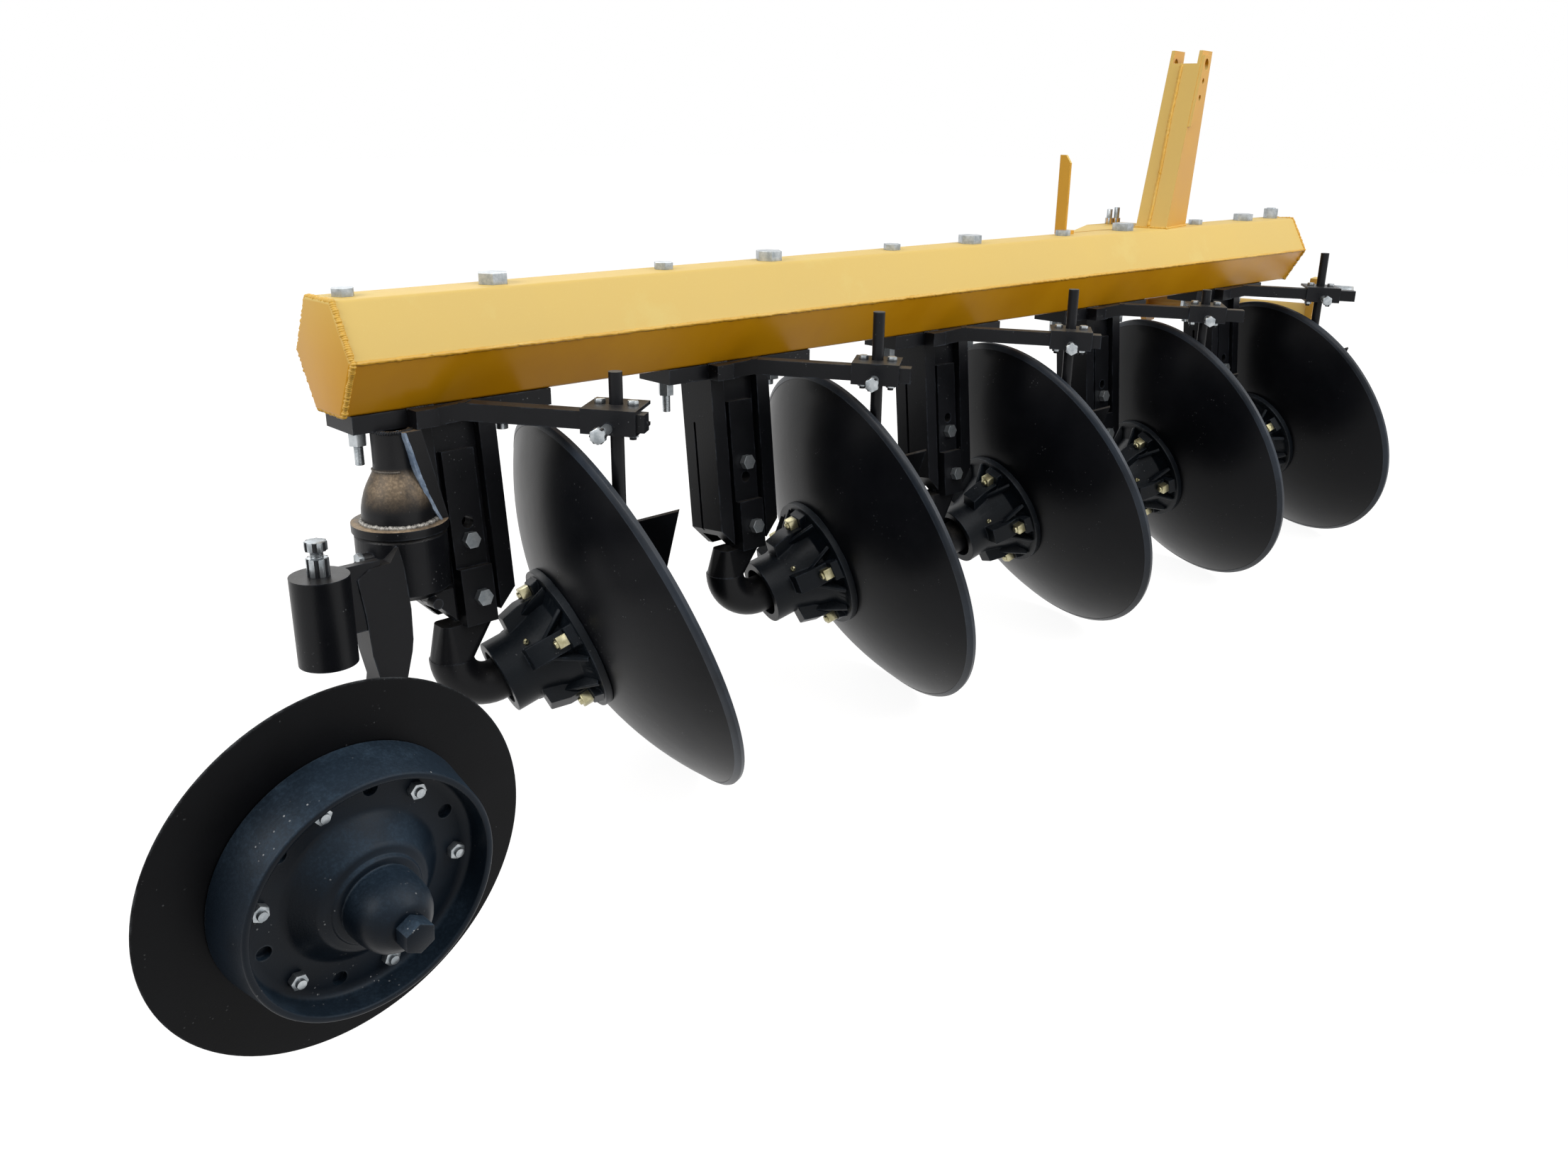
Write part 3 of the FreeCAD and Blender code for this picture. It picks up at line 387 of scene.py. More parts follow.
# The pale film on the yellow's upward faces is partly settled dust and partly a painted sheen of the
# bright sky.
yellow_paint = make_paint(
    "yellow_paint", dark=(0.60, 0.262, 0.002), light=(0.66, 0.305, 0.004), dust_and_sheen_colour=(0.73, 0.57, 0.20),
    worn=(0.40, 0.22, 0.03), rough=0.34, gloss=0.22, wear=0.35, peel=0.10, coat=0.05,
    dust_and_sheen_film={"Amount": 0.62, "Start": -0.22, "Full": 0.50, "Evenness": 0.86, "Patch_Scale": 4.0})
black_paint = make_paint(
    "black_paint", dark=(0.0040, 0.0044, 0.0056), light=(0.0085, 0.0090, 0.0110),
    dust_and_sheen_colour=(0.066, 0.058, 0.048), worn=(0.070, 0.084, 0.105), rough=0.36, gloss=0.17, wear=0.75,
    peel=0.20, chips=0.25, dust_and_sheen_film={"Amount": 0.45})
# The sandy film on the bracket's and the bell's upward faces is partly dust and partly a painted highlight
# of the sun.
bracket_paint = make_paint(
    "bracket_paint", dark=(0.0040, 0.0044, 0.0056), light=(0.0100, 0.0100, 0.0110),
    dust_and_sheen_colour=(0.46, 0.34, 0.22), worn=(0.060, 0.070, 0.085), rough=0.36, gloss=0.20, wear=0.60,
    peel=0.25, chips=0.3,
    dust_and_sheen_film={"Amount": 0.75, "Start": 0.10, "Full": 0.60, "Patch_Scale": 14.0, "Evenness": 0.30})
disc_paint = make_paint(
    "disc_paint", dark=(0.0030, 0.0034, 0.0046), light=(0.0064, 0.0068, 0.0086),
    dust_and_sheen_colour=(0.052, 0.049, 0.044), worn=(0.110, 0.120, 0.140), rough=0.33, gloss=0.11, wear=0.80,
    peel=0.14, chips=0.15, dust_and_sheen_film={"Amount": 0.35})
flange_paint = make_paint(
    "flange_paint", dark=(0.0022, 0.0024, 0.0030), light=(0.0050, 0.0054, 0.0066),
    dust_and_sheen_colour=(0.030, 0.032, 0.034), worn=(0.130, 0.140, 0.150), rough=0.44, gloss=0.08, wear=0.80,
    peel=0.16, chips=0.18, dust_and_sheen_film={"Amount": 0.30})
# The bluish film on the wheel's upward faces is a painted sheen of the sky, laid in patches.
wheel_paint = make_paint(
    "wheel_paint", dark=(0.0020, 0.0040, 0.0072), light=(0.0052, 0.0105, 0.0180),
    dust_and_sheen_colour=(0.042, 0.070, 0.104), worn=(0.100, 0.120, 0.140), rough=0.40, gloss=0.13, wear=0.60,
    peel=0.20, chips=0.6, dust_and_sheen_film={"Amount": 0.50, "Start": 0.05, "Full": 0.75, "Evenness": 0.35})
hub_paint = make_paint(
    "hub_paint", dark=(0.0036, 0.0054, 0.0080), light=(0.0085, 0.0120, 0.0165),
    dust_and_sheen_colour=(0.050, 0.056, 0.064), worn=(0.095, 0.118, 0.150), rough=0.36, gloss=0.14, wear=0.85,
    peel=0.20, chips=0.25, dust_and_sheen_film={"Amount": 0.40})
rim_steel = make_paint(
    "rim_steel", dark=(0.010, 0.013, 0.018), light=(0.034, 0.044, 0.060),
    dust_and_sheen_colour=(0.060, 0.062, 0.064), worn=(0.120, 0.130, 0.145), rough=0.38, gloss=0.22, wear=0.40,
    peel=0.20, dust_and_sheen_film={"Amount": 0.40})
# As on the yellow, the pale film on the seams' upward faces is partly dust and partly a painted sheen of
# the bright sky.
seam_paint = make_paint(
    "seam_paint", dark=(0.62, 0.300, 0.010), light=(0.70, 0.400, 0.050), dust_and_sheen_colour=(0.80, 0.62, 0.24),
    worn=(0.50, 0.28, 0.04), rough=0.36, gloss=0.30, wear=0.0, peel=0.10,
    dust_and_sheen_film={"Amount": 0.50, "Start": -0.22, "Full": 0.50, "Evenness": 0.40})
print("paints", [m.name for m in (yellow_paint, black_paint, bracket_paint, disc_paint, wheel_paint)])

# %% [markdown]
# Fasteners are plated, not painted. Clear zinc is pale and slightly blue, the square nuts of
# the hubs carry a yellow passivated zinc, and both are dulled in blotches by handling.

# %% Plated steel
def make_plating(name, dark, light, rough, metal=0.85, grain=60.0):
    """Metal finish, blotched at a grain in cells per metre."""
    material = bpy.data.materials.new(name)
    material.use_nodes = True
    tree = material.node_tree
    shader = tree.nodes["Principled BSDF"]
    place = add(tree, "ShaderNodeTexCoord", (-900, 0)).outputs["Object"]
    blotch = ramp(tree, noise(tree, place, grain, 5.0, 0.65, (-700, 200)), 0.32, 0.68, (-500, 200))
    fine = noise(tree, place, grain * 12.0, 2.0, 0.6, (-700, -200))
    edges = use(tree, WEAR, (-700, -400), Amount=0.5)
    colour = blend_colour(tree, blotch, dark, light, (-300, 200))
    bright = tuple(min(1.0, c * 1.15) for c in light)
    colour = blend_colour(tree, edges.outputs["Mask"], colour, bright, (-100, 200))
    join(tree, colour, shader.inputs["Base Color"])
    shine = maths(tree, "MULTIPLY", blotch, -0.12, (-300, -100))
    join(tree, maths(tree, "ADD", shine, rough, (-100, -100), True), shader.inputs["Roughness"])
    bump = add(tree, "ShaderNodeBump", (-300, -300))
    bump.inputs["Strength"].default_value = 0.15
    bump.inputs["Distance"].default_value = 0.0003
    join(tree, fine, bump.inputs["Height"])
    join(tree, bump.outputs["Normal"], shader.inputs["Normal"])
    shader.inputs["Metallic"].default_value = metal
    return material


zinc = make_plating("zinc_plating", (0.27, 0.30, 0.32), (0.50, 0.53, 0.55), 0.40)
yellow_zinc = make_plating("yellow_zinc_plating", (0.34, 0.31, 0.17), (0.58, 0.54, 0.35), 0.40)
spring_steel = make_plating("spring_steel", (0.020, 0.020, 0.022), (0.060, 0.060, 0.062), 0.45, 0.6)
bare_weld = make_plating("bare_weld", (0.07, 0.066, 0.062), (0.46, 0.44, 0.40), 0.50, 0.4, 160.0)
cut_steel = make_plating("cut_steel", (0.13, 0.18, 0.26), (0.34, 0.42, 0.53), 0.50, 0.1, 60.0)
dusty_steel = make_plating("dusty_steel", (0.050, 0.042, 0.034), (0.115, 0.098, 0.080), 0.60, 0.1, 50.0)
print("plated finishes ready")

# %% [markdown]
# Every piece below goes through the same few steps: it is made, its normals are turned outward,
# its edges are softened, and it is handed over with its finish and its body.

# %% Steps shared by the pieces
def select_only(piece):
    """Make a piece the active one and the only one selected."""
    bpy.ops.object.select_all(action="DESELECT")
    piece.select_set(True)
    bpy.context.view_layer.objects.active = piece


def finish_with(piece, material):
    """Leave one material on a piece."""
    piece.data.materials.clear()
    piece.data.materials.append(material)


def new_piece(name, corners, edges, faces):
    """Object made from corners, edges and faces, and the only one selected."""
    mesh = bpy.data.meshes.new(name)
    mesh.from_pydata(corners, edges, faces)
    piece = bpy.data.objects.new(name, mesh)
    bpy.context.collection.objects.link(piece)
    select_only(piece)
    return piece


def edit_all():
    """Enter edit mode on the active piece with all of it selected."""
    bpy.ops.object.mode_set(mode="EDIT")
    bpy.ops.mesh.select_all(action="SELECT")


def face_outward():
    """Turn all normals of the piece being edited outward and leave edit mode."""
    bpy.ops.mesh.select_all(action="SELECT")
    bpy.ops.mesh.normals_make_consistent(inside=False)
    bpy.ops.object.mode_set(mode="OBJECT")


def soften(piece, width):
    """Bevel every edge of the active piece by a width in metres."""
    edge = piece.modifiers.new("edge", "BEVEL")
    edge.width = width
    edge.segments = 2
    bpy.ops.object.modifier_apply(modifier="edge")


def smooth(degrees):
    """Smooth shading, with edges sharper than an angle kept."""
    bpy.ops.object.shade_smooth_by_angle(angle=math.radians(degrees))


def keep_flats_flat(piece):
    """Weight the normals by face area, so a bevel doesn't tint the flat beside it."""
    weighted = piece.modifiers.new("flat_faces", "WEIGHTED_NORMAL")
    weighted.keep_sharp = True
    bpy.ops.object.modifier_apply(modifier="flat_faces")


def hand_over(piece, material, body, node=None):
    """Give a piece its finish and its body and, if it stands for a CAD node, hide that node."""
    finish_with(piece, material)
    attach(piece, body)
    if node:
        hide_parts(node)
    return piece


print("steps ready")

# %% [markdown]
# CAD solids end in knife edges, and steel never does: bent plate turns on a radius and a
# casting has a fillet. A copy of a node is merged, its flat faces are joined, and a bevel of
# the real radius goes round every sharp edge. The copy then stands for the node.

# %% Rounded stand-ins for the CAD nodes
FINISH_OF_SLOT = {"yellow_paint": yellow_paint, "black_paint": black_paint, "disc_paint": disc_paint,
                  "wheel_paint": wheel_paint, "zinc_bolts": zinc, "spring_steel": spring_steel}
SPECIAL_FINISH = {"furrow_bracket": bracket_paint, "furrow_wheel_disc": flange_paint}
SPECIAL_FINISH.update({f"hub_{k}": hub_paint for k in range(1, 6)})
SLOT_OF_NODE = {part["node"]: part["material_slot"] for part in frame["record"]["subparts"]}
BODY_OF_NODE = {}
for body, nodes in frame["record"]["behaviour"]["bodies"].items():
    BODY_OF_NODE.update({node: body for node in nodes})

TRAVEL = math.radians(13.0)
MAST_FOOT = (2010.0, 0.0, 77.0)
# In metres: the notch's floor above the mast's foot, its half width, and the ears' half spread
NOTCH_FLOOR = 0.372
NOTCH_HALF = 0.020
EARS_INNER = 0.0268


def slope_the_notch(mesh):
    """Lean the sides of the notch between the mast's ears outward, up to the ears' inner faces."""
    foot = spot(*MAST_FOOT)
    level = Vector((-math.sin(TRAVEL), math.cos(TRAVEL), 0))
    for v in mesh.vertices:
        across = (v.co - foot).dot(level)
        if v.co.z - foot.z > NOTCH_FLOOR and abs(across) < NOTCH_HALF:
            v.co += level * (math.copysign(EARS_INNER, across) - across)


def rounded(node, width, segments=2, corner=34.0):
    """Copy of a CAD node with its edges rounded, riding where the node rides."""
    source = frame["nodes"][node]
    mesh = source.data.copy()
    if node == "mast":
        slope_the_notch(mesh)
    piece = bpy.data.objects.new(node + "_rounded", mesh)
    bpy.context.collection.objects.link(piece)
    select_only(piece)
    edit_all()
    bpy.ops.mesh.remove_doubles(threshold=0.00002)
    bpy.ops.mesh.customdata_custom_splitnormals_clear()
    bpy.ops.mesh.dissolve_limited(angle_limit=math.radians(0.6))
    bpy.ops.object.mode_set(mode="OBJECT")
    bevel = piece.modifiers.new("edge", "BEVEL")
    bevel.width = width / 1000.0
    bevel.segments = segments
    bevel.limit_method = "ANGLE"
    bevel.angle_limit = math.radians(corner)
    bevel.use_clamp_overlap = True
    bpy.ops.object.modifier_apply(modifier="edge")
    smooth(32.0)
    keep_flats_flat(piece)
    slot_name = SLOT_OF_NODE[node]
    material = SPECIAL_FINISH.get(node, FINISH_OF_SLOT[slot_name])
    return hand_over(piece, material, BODY_OF_NODE[node], node)


ROUNDING = {"mast": 3.0, "headstock": 1.5, "cross_shaft": 2.0, "beam_stay": 1.0, "beam_bolts": 0.8,
            "spindle_bolts": 0.8, "furrow_bracket": 1.2, "furrow_swivel": 2.5, "furrow_spring_box": 1.2,
            "furrow_axle": 1.0, "furrow_wheel_disc": 1.0}
for k in range(1, 6):
    ROUNDING.update({f"leg_{k}": 3.0, f"spindle_{k}": 2.0, f"hub_{k}": 1.8, f"scraper_arm_{k}": 1.5,
                     f"scraper_{k}": 0.8, f"disc_{k}": 1.0})
for node, width in ROUNDING.items():
    rounded(node, width)
print("rounded", len(ROUNDING), "nodes")

for node, thing in frame["nodes"].items():
    finish_with(thing, FINISH_OF_SLOT[SLOT_OF_NODE[node]])

# %% [markdown]
# The beam is two folded channels welded along their ridges, so its long edges are soft bends.
# A six-sided cylinder is laid along the beam, its flats are pulled to their real width, and
# only then do the bends get their radius. Its flat ends are the welded end plates.

# %% Main beam
def make_beam():
    """The folded beam, which stands for the CAD beam."""
    middle = spot(BEAM_LENGTH / 2.0, 0, 0)
    bpy.ops.object.select_all(action="DESELECT")
    bpy.ops.mesh.primitive_cylinder_add(vertices=6, radius=1.0, depth=BEAM_LENGTH / 1000.0,
                                        location=(0, 0, 0), rotation=(0, math.radians(90), 0))
    beam = bpy.context.object
    beam.name = "main_beam_folded"
    bpy.ops.object.transform_apply(location=True, rotation=True, scale=True)
    tall = max(v.co.z for v in beam.data.vertices)
    wide = max(v.co.y for v in beam.data.vertices)
    turned = tall > wide
    for v in beam.data.vertices:
        across = v.co.z if turned else v.co.y
        height = v.co.y if turned else v.co.z
        on_ridge = abs(height) < 0.01
        half = BEAM_RIDGE if on_ridge else BEAM_HALF_FLAT
        y = math.copysign(half / 1000.0, across)
        z = 0.0 if on_ridge else math.copysign(BEAM_HALF_HEIGHT / 1000.0, height)
        v.co = Vector((v.co.x, y, z)) + middle
    select_only(beam)
    edit_all()
    face_outward()
    bends = beam.modifiers.new("bends", "BEVEL")
    bends.width = 0.005
    bends.segments = 4
    bends.limit_method = "ANGLE"
    bends.angle_limit = math.radians(20.0)
    bpy.ops.object.modifier_apply(modifier="bends")
    smooth(30.0)
    return hand_over(beam, yellow_paint, "plough_frame", "main_beam")


beam = make_beam()
print("beam faces", len(beam.data.polygons))

# %% [markdown]
# A hand-laid weld is a row of overlapping ripples, each a little different. One ripple is a
# small squashed ball; its copies follow the joint's line and are kept as one light mesh.

# %% Weld beads
random.seed(4)


def ripple_shape():
    """Corners and faces of one ripple, a ball of radius 1."""
    bpy.ops.object.select_all(action="DESELECT")
    bpy.ops.mesh.primitive_uv_sphere_add(segments=10, ring_count=6, radius=1.0, location=(0, 0, 0))
    ball = bpy.context.object
    corners = [v.co.copy() for v in ball.data.vertices]
    faces = [tuple(p.vertices) for p in ball.data.polygons]
    bpy.data.objects.remove(ball, do_unlink=True)
    return corners, faces


RIPPLE_CORNERS, RIPPLE_FACES = ripple_shape()


def along(points, step):
    """Points at even steps on a chain of straight runs."""
    out = []
    for a, b in zip(points, points[1:]):
        count = max(1, round((b - a).length / step))
        for i in range(count):
            out.append((a.lerp(b, i / count), (b - a).normalized()))
    return out


def weld(name, points, size, material=None):
    """Bead of ripples along drawing points in millimetres; size is its half width."""
    radius = size / 1000.0
    runs = [spot(*p) for p in points]
    corners = []
    faces = []
    for place, way in along(runs, radius * 0.75):
        side = way.orthogonal().normalized()
        up = way.cross(side)
        grow = radius * random.uniform(0.85, 1.15)
        drift = side * random.uniform(-0.12, 0.12) * radius
        drift += up * random.uniform(-0.12, 0.12) * radius
        first = len(corners)
        for c in RIPPLE_CORNERS:
            corners.append(place + drift + (way * c.x * 0.75 + side * c.y + up * c.z) * grow)
        faces += [tuple(first + i for i in face) for face in RIPPLE_FACES]
    piece = new_piece(name, corners, [], faces)
    bpy.ops.object.shade_smooth()
    return hand_over(piece, material or black_paint, "plough_frame")


def ring_points(centre, r, z, start, end, steps=28):
    """Points on a level arc between two headings in degrees."""
    out = []
    for i in range(steps + 1):
        a = math.radians(start + (end - start) * i / steps)
        out.append((centre.x + r * math.cos(a), centre.y + r * math.sin(a), z))
    return out


def hexagon_at(x, grow=0.0):
    """Corners of the beam's section at x, once round."""
    flat = BEAM_HALF_FLAT + grow * 0.5
    ridge = BEAM_RIDGE + grow
    high = BEAM_HALF_HEIGHT + grow
    outline = [(flat, high), (ridge, 0), (flat, -high), (-flat, -high), (-ridge, 0), (-flat, high),
               (flat, high)]
    return [(x, y, z) for y, z in outline]


weld("bell_weld", ring_points(SWIVEL, 52.0, -232.0, 150, 325), 4.0, bare_weld)
weld("neck_weld", ring_points(SWIVEL, 30.2, -158.0, 150, 255), 1.7, dusty_steel)
weld("pipe_top_weld", ring_points(SWIVEL, 29.0, -103.0, 150, 330), 3.0)
for end_name, x in (("rear", 5.0), ("front", BEAM_LENGTH - 5.0)):
    weld(f"beam_{end_name}_weld", hexagon_at(x, -1.6), 4.2, seam_paint)
for k in range(5):
    x = DISC_SPACING * k
    weld(f"arm_weld_{k + 1}", [(x + 95, -40.0, -77.5), (x + 136, -40.0, -77.5)], 2.6)


def rough_seam(name, start, end, radius, lumps, seed):
    """Painted-over weld along a straight run: a bar with many rings pushed about at random."""
    way = spot(*end) - spot(*start)
    bpy.ops.object.select_all(action="DESELECT")
    bpy.ops.mesh.primitive_grid_add(x_subdivisions=lumps, y_subdivisions=8, size=1.0, location=(0, 0, 0))
    bar = bpy.context.object
    bar.name = name
    for v in bar.data.vertices:
        turn = (v.co.y + 0.5) * 2.0 * math.pi
        across = math.cos(turn) * radius / 1000.0
        up = math.sin(turn) * radius / 1000.0
        v.co = Vector((across, up, v.co.x * way.length))
    edit_all()
    bpy.ops.mesh.remove_doubles(threshold=0.00003)
    bpy.ops.mesh.select_non_manifold()
    bpy.ops.mesh.fill_holes(sides=0)
    bpy.ops.mesh.select_all(action="SELECT")
    bpy.ops.transform.vertex_random(offset=0.0014, seed=seed)
    face_outward()
    bar.data.transform(axle_frame((spot(*start) + spot(*end)) / 2.0, way.normalized()))
    bpy.ops.object.shade_smooth()
    return hand_over(bar, seam_paint, "plough_frame")


SEAM_INSET = 8.0
SEAM_OUT = 80.2
for label, y, seed in (("right", -SEAM_OUT, 5), ("left", SEAM_OUT, 6)):
    ends = (SEAM_INSET, y, 0.0), (BEAM_LENGTH - SEAM_INSET, y, 0.0)
    rough_seam(f"ridge_seam_{label}", *ends, 3.0, 600, seed)
print("welds laid")

# %% [markdown]
# The mast is bent from plate and closed by one long seam on its rear face. The seam leans with
# the mast, so its two ends are measured in the headstock's own heading, 13 degrees off the beam.

# %% Mast seam and foot weld
MAST_LEAN = 120.0 / 361.0


def on_mast(x, y, z):
    """Drawing point of a place on the mast: x ahead, y to the left, z up from its foot."""
    return (MAST_FOOT[0] + x * math.cos(TRAVEL) - y * math.sin(TRAVEL),
            MAST_FOOT[1] + x * math.sin(TRAVEL) + y * math.cos(TRAVEL),
            MAST_FOOT[2] + z)


SEAM_BEHIND = 0.6
# How far the seam strays to the left of the mast's middle at each of its four stops
SEAM_STRAY = (7.0, 5.5, 7.5, 6.2)
for i, (low, high) in enumerate(((3.0, 120.0), (118.0, 236.0), (234.0, 354.0))):
    rough_seam(f"mast_seam_{i + 1}", on_mast(MAST_LEAN * low - SEAM_BEHIND, SEAM_STRAY[i], low),
               on_mast(MAST_LEAN * high - SEAM_BEHIND, SEAM_STRAY[i + 1], high), 3.6, 40, 11 + i)
foot_outline = [(0, -36), (0, 36), (140, 36), (140, -36), (0, -36)]
weld("mast_foot_weld", [on_mast(x, y, 1) for x, y in foot_outline], 3.2, seam_paint)

# %% [markdown]
# The drum of the furrow wheel is a turned casting, so its half section is drawn once and spun
# round the axle: lip, inner wall, web, boss, groove, bearing tube and domed cap. The holes of the
# web are drilled 8 mm deep afterwards; the cap's dark hexagon and the zinc nuts come further on.

# %% Drum of the furrow wheel
WHEEL_CENTRE = (-221.0, -411.0, -503.0)
WHEEL = axle_frame(spot(*WHEEL_CENTRE), pointing(-86.6, -6.45))
WEB = 36.0
STUD_CIRCLE = 121.0
STUD_ANGLES = [-3.0, 54.0, 111.0, 169.0, 227.0, 285.0]
HOLE_TURN = 28.0
DRUM_SECTION = [
    # domed cap
    (0, 136), (20, 136), (25, 134.8), (29, 132), (36, 126), (41, 118.5), (44, 110), (45.6, 98), (46.4, 82),
    # groove and shoulder
    (45.4, 80), (45.0, 77.5), (46.0, 76), (52.5, 75.4), (54.6, 74), (55.4, 71.6), (57, 70), (62, 69),
    # boss down to the web
    (66, 67.6), (69.4, 64), (78, 52), (89, 41), (94, 37.6), (99, 36),
    # web and inner wall
    (130, 36), (137, 37), (141, 39.4), (143.2, 43), (144.6, 67.5), (145.4, 69.6),
    # lip and outer wall
    (147.4, 70.5), (150.6, 70.5), (152.6, 69.6), (153.6, 67.5), (162.4, 8), (162.2, 5.6), (160.5, 4.7),
    # hidden back and bearing tube
    (143, 4.7), (137, 24), (62, 24), (62, 4.7), (60, 4.7), (46, -29.3), (25, -29.3), (25, 120), (0, 120),
]


def spun(name, outline, steps):
    """Turned piece about Z from (radius, height) pairs in millimetres; rings close on themselves."""
    corners = [(r / 1000.0, 0, z / 1000.0) for r, z in outline]
    edges = [(i, i + 1) for i in range(len(corners) - 1)]
    if outline[0][0] > 0:
        edges.append((len(corners) - 1, 0))
    piece = new_piece(name, corners, edges, [])
    edit_all()
    bpy.ops.mesh.spin(steps=steps, angle=math.radians(360), center=(0, 0, 0), axis=(0, 0, 1))
    bpy.ops.mesh.select_all(action="SELECT")
    bpy.ops.mesh.remove_doubles(threshold=0.00005)
    face_outward()
    return piece


def make_drum():
    """The turned drum with its drilled web, which stands for the CAD drum."""
    drum = spun("wheel_drum_turned", DRUM_SECTION, 96)
    bpy.ops.object.select_all(action="DESELECT")
    drills = []
    for angle in STUD_ANGLES:
        a = math.radians(angle + HOLE_TURN)
        place = (STUD_CIRCLE * math.cos(a) / 1000.0, STUD_CIRCLE * math.sin(a) / 1000.0, WEB / 1000.0)
        bpy.ops.mesh.primitive_cylinder_add(vertices=24, radius=0.009, depth=0.016, location=place)
        drills.append(bpy.context.object)
    for drill in drills:
        drill.select_set(True)
    bpy.ops.object.join()
    drill = bpy.context.object
    select_only(drum)
    cut = drum.modifiers.new("holes", "BOOLEAN")
    cut.operation = "DIFFERENCE"
    cut.object = drill
    bpy.ops.object.modifier_apply(modifier="holes")
    bpy.data.objects.remove(drill, do_unlink=True)
    smooth(50.0)
    keep_flats_flat(drum)
    drum.data.transform(WHEEL)
    return hand_over(drum, wheel_paint, "furrow_wheel", "furrow_wheel_drum")


drum = make_drum()
print("drum faces", len(drum.data.polygons))

# %% [markdown]
# The bell below the rear plate is drawn out smooth, which the flat facets of the CAD mesh cannot
# show where light rakes along it. A thin spun skin lies on it. The same spinning gives each disc
# the ground band along its cutting edge, where the paint is gone and the steel is bluish.

# %% Bell skin and cutting edges
BELL_SECTION = [
    (29.5, -102.0), (29.5, -150.0), (30.1, -157.0), (32.5, -163.5), (36.5, -171.0), (41.0, -179.5),
    (45.0, -189.0), (48.6, -201.0), (50.8, -212.0), (51.5, -222.0), (51.5, -232.6), (48.0, -232.6),
    (47.0, -212.0), (42.0, -192.0), (27.0, -160.0), (27.0, -102.0),
]


def dress(piece, matrix, material, body, corner=50.0):
    """Carry a spun piece to its place, smooth it and give it its finish."""
    piece.data.transform(matrix)
    select_only(piece)
    smooth(corner)
    return hand_over(piece, material, body)


swivel_place = Matrix.Translation(spot(SWIVEL.x, SWIVEL.y, 0))
dress(spun("bell_skin", BELL_SECTION, 72), swivel_place, bracket_paint, "plough_frame")

# The dish is a slice of a ball: the ball's radius and the slice's depth
DISH_R = 575.6
DISC_DEPTH = 104.0


def on_dish(r, lift):
    """Point of the disc's convex face at radius r, raised by lift."""
    reach = DISH_R + lift
    return (r, DISH_R - DISC_DEPTH - math.sqrt(reach * reach - r * r))


EDGE_SECTION = [on_dish(321.0, -0.6), on_dish(321.6, 0.40), on_dish(325.0, 0.50), on_dish(329.6, 0.50),
                (330.6, 0.8), (329.5, 7.0), (328.4, 6.8), (328.9, 1.4), on_dish(327.0, -1.2)]
for k in range(5):
    edge = spun(f"disc_edge_{k + 1}", EDGE_SECTION, 128)
    dress(edge, hub_matrix(k), rim_steel, f"disc_unit_{k + 1}", 40.0)
print("bell skin and five cutting edges")

# %% [markdown]
# A grease nipple stands on each hub's barrel: a small cone with a ball. Three turned steps say it.

# %% Grease nipples
NIPPLE_SECTION = [(0, 11.0), (1.8, 10.4), (2.6, 9.0), (2.4, 7.6), (1.9, 6.8), (3.2, 4.6), (4.2, 4.0),
                  (4.4, 0.6), (4.0, -2.0), (0, -2.0)]
around = Matrix.Rotation(math.radians(120.0), 4, "Z")
outward = Matrix.Translation((0.0625, 0, -0.168)) @ Matrix.Rotation(math.radians(90.0), 4, "Y")
for k in range(5):
    nipple = spun(f"grease_nipple_{k + 1}", NIPPLE_SECTION, 20)
    place = hub_matrix(k) @ around @ outward
    dress(nipple, place, yellow_zinc, f"disc_unit_{k + 1}", 35.0)
print("five nipples")

# %% [markdown]
# Each disc is bolted through the hub's flange, and the square nuts show on the back. One nut
# is a bevelled cube with the bolt's end standing out of it; five copies go round each hub.

# %% Square nuts of the hubs
NUT_CIRCLE = 0.098
NUT_SIDE = 0.0190
NUT_TALL = 0.0184
NUT_BELOW_FLANGE = 0.0220
FLANGE_R = 120.0
FLANGE_THICK = 0.0134
FLANGE_LOW = on_dish(FLANGE_R, 0.0)[1] / 1000.0 - FLANGE_THICK


def make_square_nut():
    """One square nut with the end of its bolt, for copying."""
    bpy.ops.object.select_all(action="DESELECT")
    bpy.ops.mesh.primitive_cube_add(size=1.0, location=(0, 0, 0), scale=(NUT_SIDE, NUT_SIDE, NUT_TALL))
    nut = bpy.context.object
    bpy.ops.object.transform_apply(location=True, rotation=True, scale=True)
    soften(nut, 0.0016)
    bpy.ops.mesh.primitive_cylinder_add(vertices=20, radius=0.0062, depth=0.0240,
                                        location=(0, 0, -0.001))
    soften(bpy.context.object, 0.0012)
    nut.select_set(True)
    bpy.context.view_layer.objects.active = nut
    bpy.ops.object.join()
    smooth(30.0)
    return nut


pattern_nut = make_square_nut()
for k in range(5):
    copies = []
    for i in range(5):
        place = hub_matrix(k) @ Matrix.Rotation(math.radians(72.0 * i), 4, "Z")
        place = place @ Matrix.Translation((NUT_CIRCLE, 0, FLANGE_LOW - NUT_BELOW_FLANGE))
        nut = pattern_nut.copy()
        nut.data = pattern_nut.data.copy()
        nut.data.transform(place)
        bpy.context.collection.objects.link(nut)
        copies.append(nut)
    bpy.ops.object.select_all(action="DESELECT")
    for nut in copies:
        nut.select_set(True)
    bpy.context.view_layer.objects.active = copies[0]
    bpy.ops.object.join()
    nuts = bpy.context.object
    nuts.name = f"hub_nuts_{k + 1}"
    hand_over(nuts, yellow_zinc, f"disc_unit_{k + 1}")
bpy.data.objects.remove(pattern_nut, do_unlink=True)
print("25 square nuts")

# %% [markdown]
# The hub's casting has two thin ribs at each nut, which part like a V from the barrel to the
# flange. One rib is a five-cornered plate; it is stood at each side of each nut and rounded.

# %% Ribs of the hubs
RIB_HALF = 0.0032
